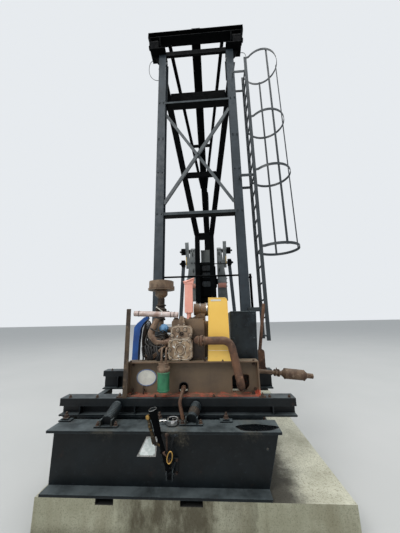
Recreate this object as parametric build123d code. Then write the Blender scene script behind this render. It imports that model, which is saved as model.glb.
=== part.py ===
from build123d import *
import os
from math import cos, degrees, radians, sin, tan

# Frame: +X right and +Y towards the well as seen from the engine end, +Z up.
# The origin is at ground level on the centreline, below the rear legs.
# Heights below are given above the slab's top; each piece is lifted by SLAB_T when it is saved.

# Foundation
SLAB_T = 250.0
SLAB_W = 2440.0
SLAB_REAR = -2120.0
SLAB_FRONT = 4450.0

# Rear cross beam and skid
REAR_BEAM_H = 457.0
REAR_BEAM_FLANGE = 230.0
REAR_BEAM_LEFT = -1190.0
REAR_BEAM_RIGHT = 640.0
REAR_BEAM_SLANT = 90.0
FLANGE_T = 19.0
WEB_T = 16.0
SKID_X = 770.0
SKID_FLANGE = 220.0
SKID_REAR = -950.0
SKID_FRONT = 4300.0

# Engine cross beams, laid on the skid
CROSS_LEFT = -1285.0
CROSS_RIGHT = 950.0
CROSS_H = 154.0
CROSS_FLANGE = 140.0
CROSS_REAR_Y = -1757.0
CROSS_FRONT_Y = -880.0
CROSS_FRONT_H = 225.0
CROSS_STRIP = 67.0
SILL_LEFT = -1100.0
PLATFORM_X = -1212.0
PLATFORM_FLANGE = 66.0

# Engine skid
ESKID_LEFT = -660.0
ESKID_RIGHT = 645.0
ESKID_H = 313.0
ESKID_FLANGE = 150.0
ESKID_Y = -1705.0
FLOOR_TOP = 800.0

# Tower
LEG_X = 787.0
LEG_FLANGE = 165.0
LEG_DEPTH = 203.0
LEG_TOP = 7480.0
HEADER_H = 120.0
FRONT_TOP = (860.0, 160.0, 7400.0)
FRONT_KINK = (216.0, 2410.0, 3830.0)
FRONT_LEG_W = 150.0
LOWER_LEG_W = 140.0
FRONT_LEG_D = 150.0
BRACE_W = 62.0
BRACE_D = 50.0
BRACE_T = 8.0
BRACE_LOW = 3600.0
BRACE_HIGH = 5820.0
UPPER_BAR = (6052.0, 6097.0)
LOWER_BAR = (3348.0, 3408.0)
TIES = ((6860.0, 250.0), (5300.0, 140.0), (3814.0, 204.0))

# Beam pivot and walking beam
PIVOT_Y = -110.0
PIVOT_Z = 7700.0
SHAFT_R = 45.0
RUNNING = 0.05
TAIL_BEAM_X = 1118.0
TAIL_BEAM_W = 220.0
TAIL_BEAM_BOTTOM = 7860.0
TAIL_BEAM_H = 160.0
LUG_X = 822.0
LUG_T = 28.0
BEAM_SLOPE = 28.3
BEAM_SOFFIT = 8030.0
BEAM_FLANGE = 215.0
BEAM_DEPTH = 460.0
BEAM_TAIL = -176.0
BEAM_LENGTH = 7150.0
STRUT_W = 82.0
STRUT_TIE_W = 66.0
STRUT_FOOT_X = 640.0
STRUT_END_X = 80.0
STRUT_END_S = 3950.0
STRUT_TIE_Y = 2130.0

# Horse head
HEAD_R = 7350.0
HEAD_BELOW = 8.0
HEAD_ABOVE = 31.0
HEAD_W = 215.0
HEAD_PLATE = 12.0

# Crank linkage, on the machine's mid plane
SHAFT_Y = 2950.0
SHAFT_Z = 2500.0
CRANK_LEAN = 25.2
REDUCER_X = 30.0
CRANK_INNER = 335.0
CRANK_OUTER = 645.0
CRANK_TIP_X = 462.0
CRANK_HUB_R = 210.0
CRANK_SLOTS = (390.0, 895.0)
SLOT_DEPTH = 70.0
CRANK_TAIL = -600.0
CRANK_TOP = 1055.0
CRANK_DEPTH = 260.0
FINGER_INNER = 520.0
FINGER_OUTER = 621.0
FINGER_FOOT = 450.0
FINGER_TOP = 1258.0
STUD_RADIUS = 972.0
STUD_END = 765.0
KNOB_R = 100.0
SMALL_KNOB_R = 62.0
WRIST_R = 597.0
WRIST_PIN_R = 40.0
PITMAN_INNER = 655.0
PITMAN_OUTER = 765.0
PITMAN_FOOT_X = 850.0
PITMAN_CAP_R = 64.0
PITMAN_FOOT = 475.0
PEDESTAL_TOP = 1950.0
CASE_TOP = 3030.0
CASE_HALF = 250.0
TOP_BOX_HALF = 153.0
TOP_BOX_TOP = 3435.0
PEDESTAL_HALF = 325.0
EQUALIZER_S = 5000.0
EQUALIZER_DROP = 250.0

# Ladder and cage
LADDER_X = 1108.0
RAIL_REAR = -200.0
RAIL_FRONT = 248.0
RUNG_PITCH = 304.8
RUNG_FIRST = 1041.0
RUNG_COUNT = 20
LADDER_FOOT = 975.0
RUNG_R = 16.0
LADDER_TOP = 7050.0
CAGE_X = 1471.0
CAGE_Y = 24.0
CAGE_R = 380.0
HOOP_LEVELS = (2600.0, 4167.0, 5424.0, 7015.0)
HOOP_HALF_ANGLE = 140.0
CAGE_BAR_ANGLES = (-80.0, 0.0, 80.0)
CAGE_BAR_W = 38.0
CAGE_BAR_T = 10.0
HOOP_H = 50.0
HOOP_T = 10.0
ARM_LEVELS = (1490.0, 4060.0, 6650.0)

# Engine
ENGINE_LEFT = -250.0
ENGINE_RIGHT = 118.0
ENGINE_REAR = -1660.0
ENGINE_FRONT = -980.0
ENGINE_TOP = 1326.0
LOW_COVER = (-128.0, 1035.0)
HIGH_COVER = (-116.0, 1200.0)
BARREL_Z = 1452.0
BARREL_R = 72.0
TANK = (-66.0, -1450.0)
TANK_TOP = 1760.0
INTAKE_R = 38.0
BREATHER_R = 28.0
CLEANER = (-435.0, -1300.0)
LID_R = 156.0
FILTER = (-272.0, -1850.0)
FILTER_R = 56.0
FILTER_TOP = 849.0
FAN_R = 225.0
FAN_Z = 1110.0
GENERATOR = (-400.0, 1005.0)
GENERATOR_R = 72.0
STARTER = (-330.0, 880.0)
STARTER_R = 46.0
CLUTCH_GUARD_REAR = -1770.0
BELT_GUARD_LEFT = 412.0
EXHAUST_R = 38.0
MUFFLER_R = 60.0

SLOPE = radians(BEAM_SLOPE)
CROSS_TOP = REAR_BEAM_H + CROSS_H
ESKID_TOP = CROSS_TOP + ESKID_H
RAIL_X = 585.0
RAIL_WEB = 8.0
GUARD_POST_X = 855.0

os.makedirs("parts", exist_ok=True)


def save(name, shape):
    """Write one sub-part, lifted from the slab's top to ground level."""
    export_step(Pos(0, 0, SLAB_T) * shape, f"parts/{name}.step")


def group(shapes):
    """Separate solids that share one node."""
    return Compound([solid for shape in shapes for solid in shape.solids()])


def block(x0, x1, y0, y1, z0, z1):
    """Box between two corners."""
    return Pos((x0 + x1) / 2, (y0 + y1) / 2, (z0 + z1) / 2) * Box(x1 - x0, y1 - y0, z1 - z0)


def i_section(depth, flange, flange_t=FLANGE_T, web_t=WEB_T):
    """I-section with its flanges along local X and its depth along local Y."""
    side = (flange - web_t) / 2
    gap = Pos((web_t + side) / 2, 0) * Rectangle(side, depth - 2 * flange_t)
    return Rectangle(flange, depth) - gap - mirror(gap, about=Plane.YZ)


def run(start, end, section, x_dir=(1, 0, 0)):
    """A straight member of the given section between two points."""
    axis = Vector(*end) - Vector(*start)
    plane = Plane(origin=start, x_dir=x_dir, z_dir=axis)
    return extrude(plane * section, amount=axis.length)


def rod(start, end, radius):
    """A round bar between two points."""
    return run(start, end, Circle(radius), x_dir=(0.3, 0.5, 0.81))


def pipe(points, radius, bend):
    """A round pipe through points, with bends of one radius."""
    path = FilletPolyline(*points, radius=bend)
    start = Plane(origin=path @ 0, z_dir=path % 0)
    return sweep(start * Circle(radius), path=path)


def side_plate(points, x0, x1):
    """A plate with its outline in the YZ plane, between two X values."""
    face = make_face(Polyline(*[(x0, y, z) for y, z in points], close=True))
    return extrude(face, amount=x1 - x0, dir=(1, 0, 0))


def rear_plate(points, y0, y1):
    """A plate with its outline in the XZ plane, between two Y values."""
    face = make_face(Polyline(*[(x, y0, z) for x, z in points], close=True))
    return extrude(face, amount=y1 - y0, dir=(0, 1, 0))


def both_sides(shape):
    """A shape and its mirror image across the centreline."""
    return [shape, mirror(shape, about=Plane.YZ)]


def along_beam(s, offset=0.0):
    """Point (y, z) at distance s along the walking beam's underside, offset square to it."""
    y = s * cos(SLOPE) + offset * sin(SLOPE)
    z = BEAM_SOFFIT - s * sin(SLOPE) + offset * cos(SLOPE)
    return y, z


# Foundation

def foundation_slab():
    slab = block(-SLAB_W / 2, SLAB_W / 2, SLAB_REAR, SLAB_FRONT, -SLAB_T, 0)
    for x0, x1 in ((-732, -588), (-73, 100)):
        slab -= block(x0, x1, SLAB_REAR - 1, SLAB_REAR + 90, -40, 1)
    return slab


# Skid and cross beams

def rear_cross_beam():
    y_mid = SLAB_REAR + REAR_BEAM_FLANGE / 2
    far_end = REAR_BEAM_RIGHT + REAR_BEAM_SLANT
    start = (REAR_BEAM_LEFT, y_mid, REAR_BEAM_H / 2)
    end = (far_end, y_mid, REAR_BEAM_H / 2)
    beam = run(start, end, i_section(REAR_BEAM_H, REAR_BEAM_FLANGE), x_dir=(0, 1, 0))
    past = far_end + 50
    cut = [(REAR_BEAM_RIGHT - 25, -1), (far_end + 5, REAR_BEAM_H - FLANGE_T), (past, REAR_BEAM_H), (past, -1)]
    beam -= rear_plate(cut, SLAB_REAR - 50, SLAB_REAR + REAR_BEAM_FLANGE + 50)
    slot = Pos(550, y_mid - 5, REAR_BEAM_H - 3) * Cylinder(38, 12)
    bolt_hole = Pos(630, y_mid, 290) * Rot(90, 0, 0) * Cylinder(11, 60)
    return beam - slot - bolt_hole


def skid_beam(side):
    x = side * SKID_X
    start = (x, SKID_REAR, REAR_BEAM_H / 2)
    end = (x, SKID_FRONT, REAR_BEAM_H / 2)
    return run(start, end, i_section(REAR_BEAM_H, SKID_FLANGE))


def sill_beams():
    """Beam on the slab below the rear engine cross beam."""
    start = (SILL_LEFT, CROSS_REAR_Y, REAR_BEAM_H / 2)
    end = (REAR_BEAM_RIGHT, CROSS_REAR_Y, REAR_BEAM_H / 2)
    return run(start, end, i_section(REAR_BEAM_H, CROSS_FLANGE, 16, 10), x_dir=(0, 1, 0))


def platform_beam():
    """Narrow upright beam along the slab's left edge, between the cross beams."""
    start = (PLATFORM_X, CROSS_REAR_Y - CROSS_FLANGE / 2, REAR_BEAM_H / 2)
    end = (PLATFORM_X, CROSS_FRONT_Y + CROSS_FLANGE / 2, REAR_BEAM_H / 2)
    return run(start, end, i_section(REAR_BEAM_H, PLATFORM_FLANGE, 10, 8))


def cross_beam(y, height):
    """I-beam with end stiffeners and a strip along the top of its rear face."""
    middle = REAR_BEAM_H + height / 2
    section = i_section(height, CROSS_FLANGE, 14, 10)
    beam = run((CROSS_LEFT, y, middle), (CROSS_RIGHT, y, middle), section, x_dir=(0, 1, 0))
    for x in (-1086, -550, 740):
        beam += block(x - 5, x + 5, y - 66, y + 66, REAR_BEAM_H + 13, REAR_BEAM_H + height - 13)
    top = REAR_BEAM_H + height
    rear = y - CROSS_FLANGE / 2
    return beam + block(CROSS_LEFT, CROSS_RIGHT, rear, rear + 8, top - CROSS_STRIP, top)


def brace_pipes():
    """Two short pipes from the rear beam's top to the engine cross beam."""
    braces = []
    for x, y, lean in ((-712, -2045, 0), (8, -1998, 30)):
        foot = block(x - 100, x + 100, y - 28, y + 28, REAR_BEAM_H, REAR_BEAM_H + 12)
        stay = rod((x, y + 5, REAR_BEAM_H + 42), (x + lean, -1832, REAR_BEAM_H + 96), 44)
        braces.append(foot + stay)
    return group(braces)


def engine_skid_rear_beam():
    bottom = CROSS_TOP
    middle = bottom + ESKID_H / 2
    section = i_section(ESKID_H, ESKID_FLANGE, 10, 10)
    beam = run((ESKID_LEFT, ESKID_Y, middle), (ESKID_RIGHT, ESKID_Y, middle), section, x_dir=(0, 1, 0))
    half = ESKID_FLANGE / 2
    for x in (ESKID_LEFT, ESKID_RIGHT - 12):
        beam += block(x, x + 12, ESKID_Y - half, ESKID_Y + half, bottom, ESKID_TOP)
    outline = [(386, 631), (508, 638), (553, 690), (555, 776), (535, 793), (405, 788), (386, 770)]
    pipe_hole = rear_plate(outline, ESKID_Y - 60, ESKID_Y + 60)
    hose_hole = extrude(SlotOverall(100, 84, rotation=90), 40, both=True)
    hose_hole = Pos(-96, ESKID_Y, 672) * Rot(90, 0, 0) * hose_hole
    return beam - pipe_hole - hose_hole


def engine_skid_rails():
    return group([engine_skid_rail(-RAIL_X), engine_skid_rail(RAIL_X)])


def engine_skid_rail(x):
    bottom = CROSS_TOP
    middle = (bottom + FLOOR_TOP) / 2
    start = (x, ESKID_Y + ESKID_FLANGE / 2, middle)
    end = (x, CROSS_FRONT_Y - CROSS_FLANGE / 2, middle)
    rail = run(start, end, i_section(FLOOR_TOP - bottom, 120, 10, RAIL_WEB))
    web_foot = block(x - 40, x + 40, end[1] - 12, end[1], REAR_BEAM_H, bottom)
    return rail + web_foot


def engine_skid_floor():
    """Plate between the skid rails that carries the engine."""
    y0 = ESKID_Y + ESKID_FLANGE / 2
    reach = RAIL_X - RAIL_WEB / 2
    return block(-reach, reach, y0, CROSS_FRONT_Y - CROSS_FLANGE / 2, FLOOR_TOP - 30, FLOOR_TOP - 10)


def left_upright_post():
    section = Rectangle(45, 45) - Pos(6, 6) * Rectangle(45, 45)
    return run((-651, -1804, CROSS_TOP), (-651, -1804, 1450), section)


# Engine and drive

def engine_block():
    left, right, front = ENGINE_LEFT, ENGINE_RIGHT, ENGINE_FRONT
    crankcase = block(left, right, ENGINE_REAR + 32, front, FLOOR_TOP - 10, 930)
    crankcase += block(left, right, ENGINE_REAR, front, 930, 1120)
    upper = block(left + 15, right, ENGINE_REAR + 20, front - 20, 1120, ENGINE_TOP)
    upper = fillet(upper.edges().filter_by(Axis.Y), 22)
    saddle = [(-70, 1300), (-70, ENGINE_TOP), (40, 1400), (right, 1400), (right, 1300)]
    return crankcase + upper + rear_plate(saddle, -1390, -1200) + rear_cylinder()


def engine_end_covers():
    y = -1700
    low = extrude(RectangleRounded(250, 215, 45), 40, both=True)
    low = Pos(LOW_COVER[0], y, LOW_COVER[1]) * Rot(90, 0, 0) * low
    high = extrude(RectangleRounded(226, 140, 40), 30, both=True)
    high = Pos(HIGH_COVER[0], y, HIGH_COVER[1]) * Rot(90, 0, 0) * high
    ring = Pos(LOW_COVER[0], y - 42, LOW_COVER[1]) * Rot(90, 0, 0) * (Cylinder(52, 12) - Cylinder(40, 14))
    outline = [(-158, 1250), (-78, 1250), (-92, 1330), (-104, 1368), (-128, 1368), (-140, 1330)]
    lug = rear_plate(outline, y - 15, y + 45)
    hole = Pos(-114, y - 30, 1186) * Rot(90, 0, 0) * Cylinder(20, 60)
    return low + high + ring + lug - hole


def rear_cylinder():
    """Short horizontal barrel on top of the engine, with a collar at each end."""
    y, z = -1300, BARREL_Z
    barrel = rod((-18, y, z), (150, y, z), BARREL_R)
    collars = rod((10, y, z), (24, y, z), BARREL_R + 10) + rod((118, y, z), (132, y, z), BARREL_R + 10)
    return barrel + collars


def coolant_tank():
    """Slim upright tank with flat faces and a slanted, flared top."""
    x, y = TANK
    neck = rod((x, y, ENGINE_TOP - 6), (x, y, 1415), 26)
    body = block(x - 46, x + 46, y - 40, y + 40, 1411, TANK_TOP)
    outline = [(x - 58, TANK_TOP + 8), (x - 52, TANK_TOP - 10), (x + 52, TANK_TOP - 10), (x + 58, TANK_TOP + 35),
               (x + 40, TANK_TOP + 52)]
    return neck + body + rear_plate(outline, y - 48, y + 48)


def intake_elbow():
    y = ENGINE_REAR + 20
    path = [(-240, y, 1098), (-395, y, 1104), (-470, y + 10, 1180), (-404, y + 40, 1345)]
    foot = rod((-230, y, 1098), (-262, y, 1098), INTAKE_R + 14)
    return pipe(path, INTAKE_R, 50) + foot


def engine_pipes():
    """Intake elbow and the open breather pipe above it."""
    return group([intake_elbow(), breather_pipe()])


def breather_pipe():
    y = ENGINE_REAR + 20
    tube = rod((-655, y, 1408), (-165, y, 1385), BREATHER_R)
    return tube - rod((-660, y, 1408), (-560, y, 1403), BREATHER_R - 7)


def air_cleaner():
    """Domed bowl with a wide flared lid on an upright stem."""
    x, y = CLEANER
    stem = rod((x, y, 1190), (x, y, 1616), 36)
    bowl = rod((x, y, 1612), (x, y, 1690), 80)
    bowl = chamfer(bowl.edges().sort_by(Axis.Z)[0], 30)
    throat = rod((x, y, 1690), (x, y, 1712), 60)
    lid = rod((x, y, 1722), (x, y, 1812), LID_R)
    brim = rod((x, y, 1704), (x, y, 1722), LID_R + 10)
    arm = rod((x, y, 1215), (ENGINE_LEFT + 5, y, 1215), 34)
    return stem + bowl + throat + lid + brim + arm


def oil_filter():
    x, y = FILTER
    can = rod((x, y, 680), (x, y, FILTER_TOP), FILTER_R)
    head = rod((x, y, FILTER_TOP), (x, y, 922), 48)
    cup = rod((x, y, 672), (x, y, 682), 44)
    bracket = block(x - 18, x + 18, y, ESKID_Y, 866, 888)
    shape = can + head + cup + bracket
    for line_x in (x - 22, x + 22):
        shape += pipe([(line_x, y, 915), (line_x, y, 1060), (line_x, ENGINE_REAR + 10, 1060)], 9, 40)
    return shape


def fan_shroud():
    """Bent hood beside the fan, with a foot on the left rail."""
    outer = [(-570, 1380), (-606, 1369), (-691, 1297), (-722, 1255), (-730, 1074), (-735, FLOOR_TOP)]
    foot = [(-560, FLOOR_TOP), (-560, FLOOR_TOP + 12), (-668, FLOOR_TOP + 12)]
    inner = [(-662, 1073), (-645, 1245), (-612, 1303), (-560, 1350)]
    return rear_plate(outer + foot + inner, -1435, -1350)


def fan_guard():
    y = CLEANER[1]
    hub = rod((-560, y, FAN_Z), (ENGINE_LEFT, y, FAN_Z), 40)
    rim = rod((-600, y, FAN_Z), (-560, y, FAN_Z), FAN_R)
    foot = block(-600, -561, y - 40, y + 40, FLOOR_TOP, 950)
    return rim + hub + foot


def engine_accessories():
    """Generator and starter on the engine's left side, and a box on the floor beside them."""
    x, z = GENERATOR
    shape = rod((x, -1600, z), (x, -1440, z), GENERATOR_R) + rod((x, -1624, z), (x, -1600, z), 50)
    shape += block(x, ENGINE_LEFT + 5, -1560, -1490, z - 25, z + 25)
    x, z = STARTER
    shape += rod((x, -1620, z), (x, -1420, z), STARTER_R)
    shape += block(x, ENGINE_LEFT + 5, -1560, -1480, z - 18, z + 18)
    box = block(-535, -450, -1600, -1470, FLOOR_TOP, 965)
    return group([shape, box])


def clutch_guard():
    """Narrow upright guard with a rounded shoulder, creased near the bottom."""
    y = CLUTCH_GUARD_REAR
    rear = [(174, 1552), (346, 1548), (364, 1538), (372, 1518), (377, 1130), (382, 1000), (390, ESKID_TOP),
            (153, ESKID_TOP), (157, 1000)]
    inner = [(180, 1546), (343, 1542), (358, 1533), (366, 1516), (371, 1130), (376, 1000), (384, 920),
             (159, 920), (163, 1000)]
    return rear_plate(rear, y, -1250) - rear_plate(inner, y + 6, -1240)


def belt_guard():
    left = BELT_GUARD_LEFT
    outline = [(left, FLOOR_TOP), (left, 1408), (690, 1404), (668, FLOOR_TOP)]
    inner = [(left + 6, FLOOR_TOP - 1), (left + 6, 1402), (684, 1398), (662, FLOOR_TOP - 1)]
    return rear_plate(outline, -1560, -960) - rear_plate(inner, -1554, -959)


def exhaust_pipe():
    path = [(52, -1660, 1124), (52, -1815, 1124), (378, -1838, 1124), (467, -1838, 692), (467, -1600, 690)]
    flange = rod((88, -1818, 1124), (104, -1819, 1124), EXHAUST_R + 14)
    return pipe(path, EXHAUST_R, 90) + flange


def muffler():
    """Silencer with tapered ends on a thin pipe that slopes down to the right."""
    inlet = rod((467, -1600, 690), (467, -1130, 728), 24)
    across = rod((467, -1130, 728), (1080, -1000, 646), 24)
    axis = Vector(1341, -1000, 620) - Vector(1079, -1000, 645)
    start = Plane(origin=(1052, -1000, 648), z_dir=axis)
    can = start * Pos(0, 0, 158) * Cylinder(MUFFLER_R, 236)
    can += start * Pos(0, 0, 20) * Cone(28, MUFFLER_R, 40)
    can += start * Pos(0, 0, 296) * Cone(MUFFLER_R, 30, 40)
    clamp = rod((960, -1025, 662), (976, -1022, 660), 40) + rod((1005, -1016, 656), (1019, -1013, 654), 44)
    tail = rod((1340, -1000, 620), (1435, -1000, 611), 30)
    return inlet + across + can + clamp + tail


def control_rod():
    """Leaning rod on a round-topped block on the front engine cross beam."""
    y = CROSS_FRONT_Y
    top = REAR_BEAM_H + CROSS_FRONT_H
    rounded = block(800, 879, y - 45, y + 45, top, 890) + rod((840, y - 45, 890), (840, y + 45, 890), 39.5)
    return rounded + rod((825, y, 905), (930, y, 1532), 22)


def drain_pipe():
    path = [(-96, -1690, 672), (-96, -1850, 660), (-112, -1880, 590), (-80, -1895, REAR_BEAM_H)]
    return pipe(path, 16, 40) + rod((-96, -1700, 672), (-96, -1740, 669), 24)


def gauge():
    x, y = -155, -1995
    case = rod((x, y, REAR_BEAM_H + 12), (x, y, REAR_BEAM_H + 44), 56)
    post = rod((x, y, REAR_BEAM_H), (x, y, REAR_BEAM_H + 12), 30)
    inlet = rod((x - 100, y, REAR_BEAM_H + 28), (x - 50, y, REAR_BEAM_H + 28), 12)
    return case + post + inlet


def lever_bracket():
    """Clevis on the rear beam's web that carries the brake lever."""
    y_web = SLAB_REAR + REAR_BEAM_FLANGE / 2 - WEB_T / 2
    x, z = -150.0, 170.0
    plate = block(x - 45, x + 45, y_web - 12, y_web, z - 55, z + 55)
    cheeks = block(x - 27, x - 19, y_web - 140, y_web - 12, z - 30, z + 30)
    cheeks += block(x + 19, x + 27, y_web - 140, y_web - 12, z - 30, z + 30)
    pin = rod((x - 34, y_web - 115, z), (x + 34, y_web - 115, z), 10)
    return plate + cheeks + pin


def brake_lever():
    y_web = SLAB_REAR + REAR_BEAM_FLANGE / 2 - WEB_T / 2
    x, y, z = -150.0, y_web - 115, 170.0
    boss = rod((x - 17, y, z), (x + 17, y, z), 26)
    arm = rod((x, y, z + 15), (x - 90, y - 40, 470), 12)
    grip = rod((x - 88, y - 39, 465), (x - 132, y - 60, 640), 26)
    ratchet = rod((x - 45, y - 40, 330), (x - 165, y - 70, 590), 9)
    knob = Pos(x - 168, y - 71, 598) * Sphere(18)
    link = rod((x - 20, y - 8, 260), (x - 45, y - 42, 335), 8)
    bore = rod((x - 40, y, z), (x + 40, y, z), 10 + RUNNING)
    return boss + arm + grip + ratchet + knob + link - bore


# Tower

def rear_leg(side):
    x = side * LEG_X
    section = i_section(LEG_DEPTH, LEG_FLANGE, 16, 10)
    leg = run((x, 0, REAR_BEAM_H + 20), (x, 0, LEG_TOP), section)
    foot = block(x - 105, x + 105, -150, 150, REAR_BEAM_H, REAR_BEAM_H + 20)
    return leg + foot


def tower_cross_bars():
    """Two angle bars between the rear legs, with the flat leg forward, and the plate on their tops."""
    inner = LEG_X - LEG_FLANGE / 2
    upper = block(-inner, inner, -85, -73, *UPPER_BAR)
    upper += block(-inner, inner, -85, 90, UPPER_BAR[0], UPPER_BAR[0] + 12)
    lower = block(-inner, inner, -85, -73, *LOWER_BAR)
    lower += block(-inner, inner, -85, 90, LOWER_BAR[0], LOWER_BAR[0] + 12)
    header = block(-820, 820, -70, -10, LEG_TOP, LEG_TOP + HEADER_H)
    return group([upper, lower, header])


def brace_bar(direction):
    """One angle iron of the cross brace, in front of or behind the other."""
    inner = LEG_X - LEG_FLANGE / 2 - 2
    y = -60 if direction > 0 else 0
    section = Rectangle(BRACE_D, BRACE_W) - Pos(BRACE_T, BRACE_T) * Rectangle(BRACE_D, BRACE_W)
    return run((-direction * inner, y, BRACE_LOW), (direction * inner, y, BRACE_HIGH), section, x_dir=(0, 1, 0))


def front_leg(side):
    """Leaning leg behind the rear leg, with a gusset plate at its top."""
    top = (side * FRONT_TOP[0], FRONT_TOP[1], FRONT_TOP[2])
    kink = (side * FRONT_KINK[0], FRONT_KINK[1], FRONT_KINK[2])
    lean = (Vector(*top) - Vector(*kink)).normalized() * 300
    start = (kink[0] - lean.X, kink[1] - lean.Y, kink[2] - lean.Z)
    leg = run(start, top, i_section(FRONT_LEG_D, FRONT_LEG_W, 14, 10))
    leg -= block(-1000, 1000, 2000, 3000, 3000, kink[2])
    face = LEG_DEPTH / 2
    gusset = block(690, 865, face, face + 22, 6840, 7400) + block(760, 865, face, face + 110, 7240, 7400)
    return leg + (gusset if side > 0 else mirror(gusset, about=Plane.YZ))


def lower_legs():
    return group([lower_leg(-1), lower_leg(1)])


def lower_leg(side):
    x = side * FRONT_KINK[0]
    y = FRONT_KINK[1]
    leg = run((x, y, 20), (x, y, FRONT_KINK[2]), i_section(FRONT_LEG_D, LOWER_LEG_W, 14, 10))
    return leg + block(x - 100, x + 100, y - 110, y + 110, 0, 20)


def leg_point(z):
    """Half spacing and Y of the front legs' centres at a height."""
    share = (FRONT_TOP[2] - z) / (FRONT_TOP[2] - FRONT_KINK[2])
    half = FRONT_TOP[0] + share * (FRONT_KINK[0] - FRONT_TOP[0])
    return half, FRONT_TOP[1] + share * (FRONT_KINK[1] - FRONT_TOP[1])


def front_leg_ties():
    ties = []
    for z, height in TIES:
        half, y = leg_point(max(z, FRONT_KINK[2]))
        reach = half - FRONT_LEG_W / 2 + (5 if z > FRONT_KINK[2] else 15)
        ties.append(block(-reach, reach, y - 40, y + 40, z - height / 2, z + height / 2))
    return group(ties)


def bearing(side):
    inner, outer = 865.0, 1050.0
    seat = block(700, 1060, PIVOT_Y - 130, PIVOT_Y + 190, LEG_TOP - 1, LEG_TOP + 25)
    seat -= block(-821, 821, -71, -9, LEG_TOP - 2, LEG_TOP + HEADER_H)
    under = [(871, 7225), (905, 7245), (930, 7330), (960, 7395), (1005, 7440)]
    gusset = rear_plate(under + [(1040, LEG_TOP), (871, LEG_TOP)], -80, -60)
    pedestal = block(inner, outer, PIVOT_Y - 115, PIVOT_Y + 115, LEG_TOP + 25, PIVOT_Z)
    housing = rod((inner, PIVOT_Y, PIVOT_Z), (outer, PIVOT_Y, PIVOT_Z), 118)
    bore = rod((inner - 10, PIVOT_Y, PIVOT_Z), (outer + 10, PIVOT_Y, PIVOT_Z), SHAFT_R + RUNNING)
    seat_trim = block(700, 871, -101, 102, LEG_TOP - 30, LEG_TOP)
    shape = seat + gusset + pedestal + housing - bore - seat_trim
    return shape if side > 0 else mirror(shape, about=Plane.YZ)


def beam_bearings():
    return group([bearing(-1), bearing(1)])


def grease_lines():
    """Thin pipes that loop from the bearings to the outsides of the legs."""
    left = Spline((-1030, 0, 7474), (-1090, 0, 7420), (-1130, 0, 7257), (-1104, 0, 7030), (-992, 0, 6872),
                  (-871, 0, 6844))
    right = Spline((1030, 0, 7474), (1095, -20, 7450), (1142, -60, 7353), (1147, -110, 7113),
                   (1104, -190, 6900))
    return group([bent_pipe(left, 6), bent_pipe(right, 6)])


def bent_pipe(path, radius):
    start = Plane(origin=path @ 0, z_dir=path % 0)
    return sweep(start * Circle(radius), path=path)


# Walking beam

def tail_cross_beam():
    middle = TAIL_BEAM_BOTTOM + TAIL_BEAM_H / 2
    section = i_section(TAIL_BEAM_H, TAIL_BEAM_W, 16, 12)
    beam = run((-TAIL_BEAM_X, PIVOT_Y, middle), (TAIL_BEAM_X, PIVOT_Y, middle), section, x_dir=(0, 1, 0))
    for x in (-TAIL_BEAM_X, TAIL_BEAM_X - 14):
        half = TAIL_BEAM_W / 2
        end = block(x, x + 14, PIVOT_Y - half, PIVOT_Y + half, 0, TAIL_BEAM_H)
        beam += Pos(0, 0, TAIL_BEAM_BOTTOM) * end
    lugs = []
    for x in (LUG_X, 1065):
        lug = [(PIVOT_Y - 70, PIVOT_Z - 60), (PIVOT_Y + 70, PIVOT_Z - 60), (PIVOT_Y + 105, TAIL_BEAM_BOTTOM),
               (PIVOT_Y - 105, TAIL_BEAM_BOTTOM)]
        lugs.append(side_plate(lug, x, x + LUG_T))
    lugs.append(rod((LUG_X, PIVOT_Y, PIVOT_Z), (1115, PIVOT_Y, PIVOT_Z), SHAFT_R))
    for lug in lugs:
        for shape in both_sides(lug):
            beam += shape
    y0, y1 = PIVOT_Y - TAIL_BEAM_W / 2, PIVOT_Y + TAIL_BEAM_W / 2
    top = TAIL_BEAM_BOTTOM + TAIL_BEAM_H
    y2 = y0 + 60
    saddle = [(y0, top), (y1, top), (y1, BEAM_SOFFIT - y1 * tan(SLOPE)), (y2, BEAM_SOFFIT - y2 * tan(SLOPE))]
    return beam + side_plate(saddle, -100, 100)


def walking_beam():
    tail = along_beam(BEAM_TAIL, BEAM_DEPTH / 2)
    nose = along_beam(BEAM_LENGTH - BEAM_DEPTH, BEAM_DEPTH / 2)
    section = i_section(BEAM_DEPTH, BEAM_FLANGE, 20, 12)
    return run((0, tail[0], tail[1]), (0, nose[0], nose[1]), section)


def beam_struts():
    far_y, far_z = along_beam(STRUT_END_S, -STRUT_W / 2 - 1)
    foot_y = PIVOT_Y + TAIL_BEAM_W / 2
    foot_z = TAIL_BEAM_BOTTOM + 62
    struts = []
    for side in (-1, 1):
        foot = (side * STRUT_FOOT_X, foot_y, foot_z)
        struts.append(run(foot, (side * STRUT_END_X, far_y, far_z), Rectangle(STRUT_W, STRUT_W)))
    share = (STRUT_TIE_Y - foot_y) / (far_y - foot_y)
    half = STRUT_FOOT_X + share * (STRUT_END_X - STRUT_FOOT_X)
    z = foot_z + share * (far_z - foot_z)
    deep = STRUT_TIE_W / 2
    tie = block(-half, half, STRUT_TIE_Y - deep, STRUT_TIE_Y + deep, z - deep, z + deep)
    return struts[0] + struts[1] + tie


def head_point(angle, radius):
    """Point (y, z) at an angle above the beam's slope, as seen from the pivot."""
    turn = radians(angle - BEAM_SLOPE)
    return PIVOT_Y + radius * cos(turn), PIVOT_Z + radius * sin(turn)


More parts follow.
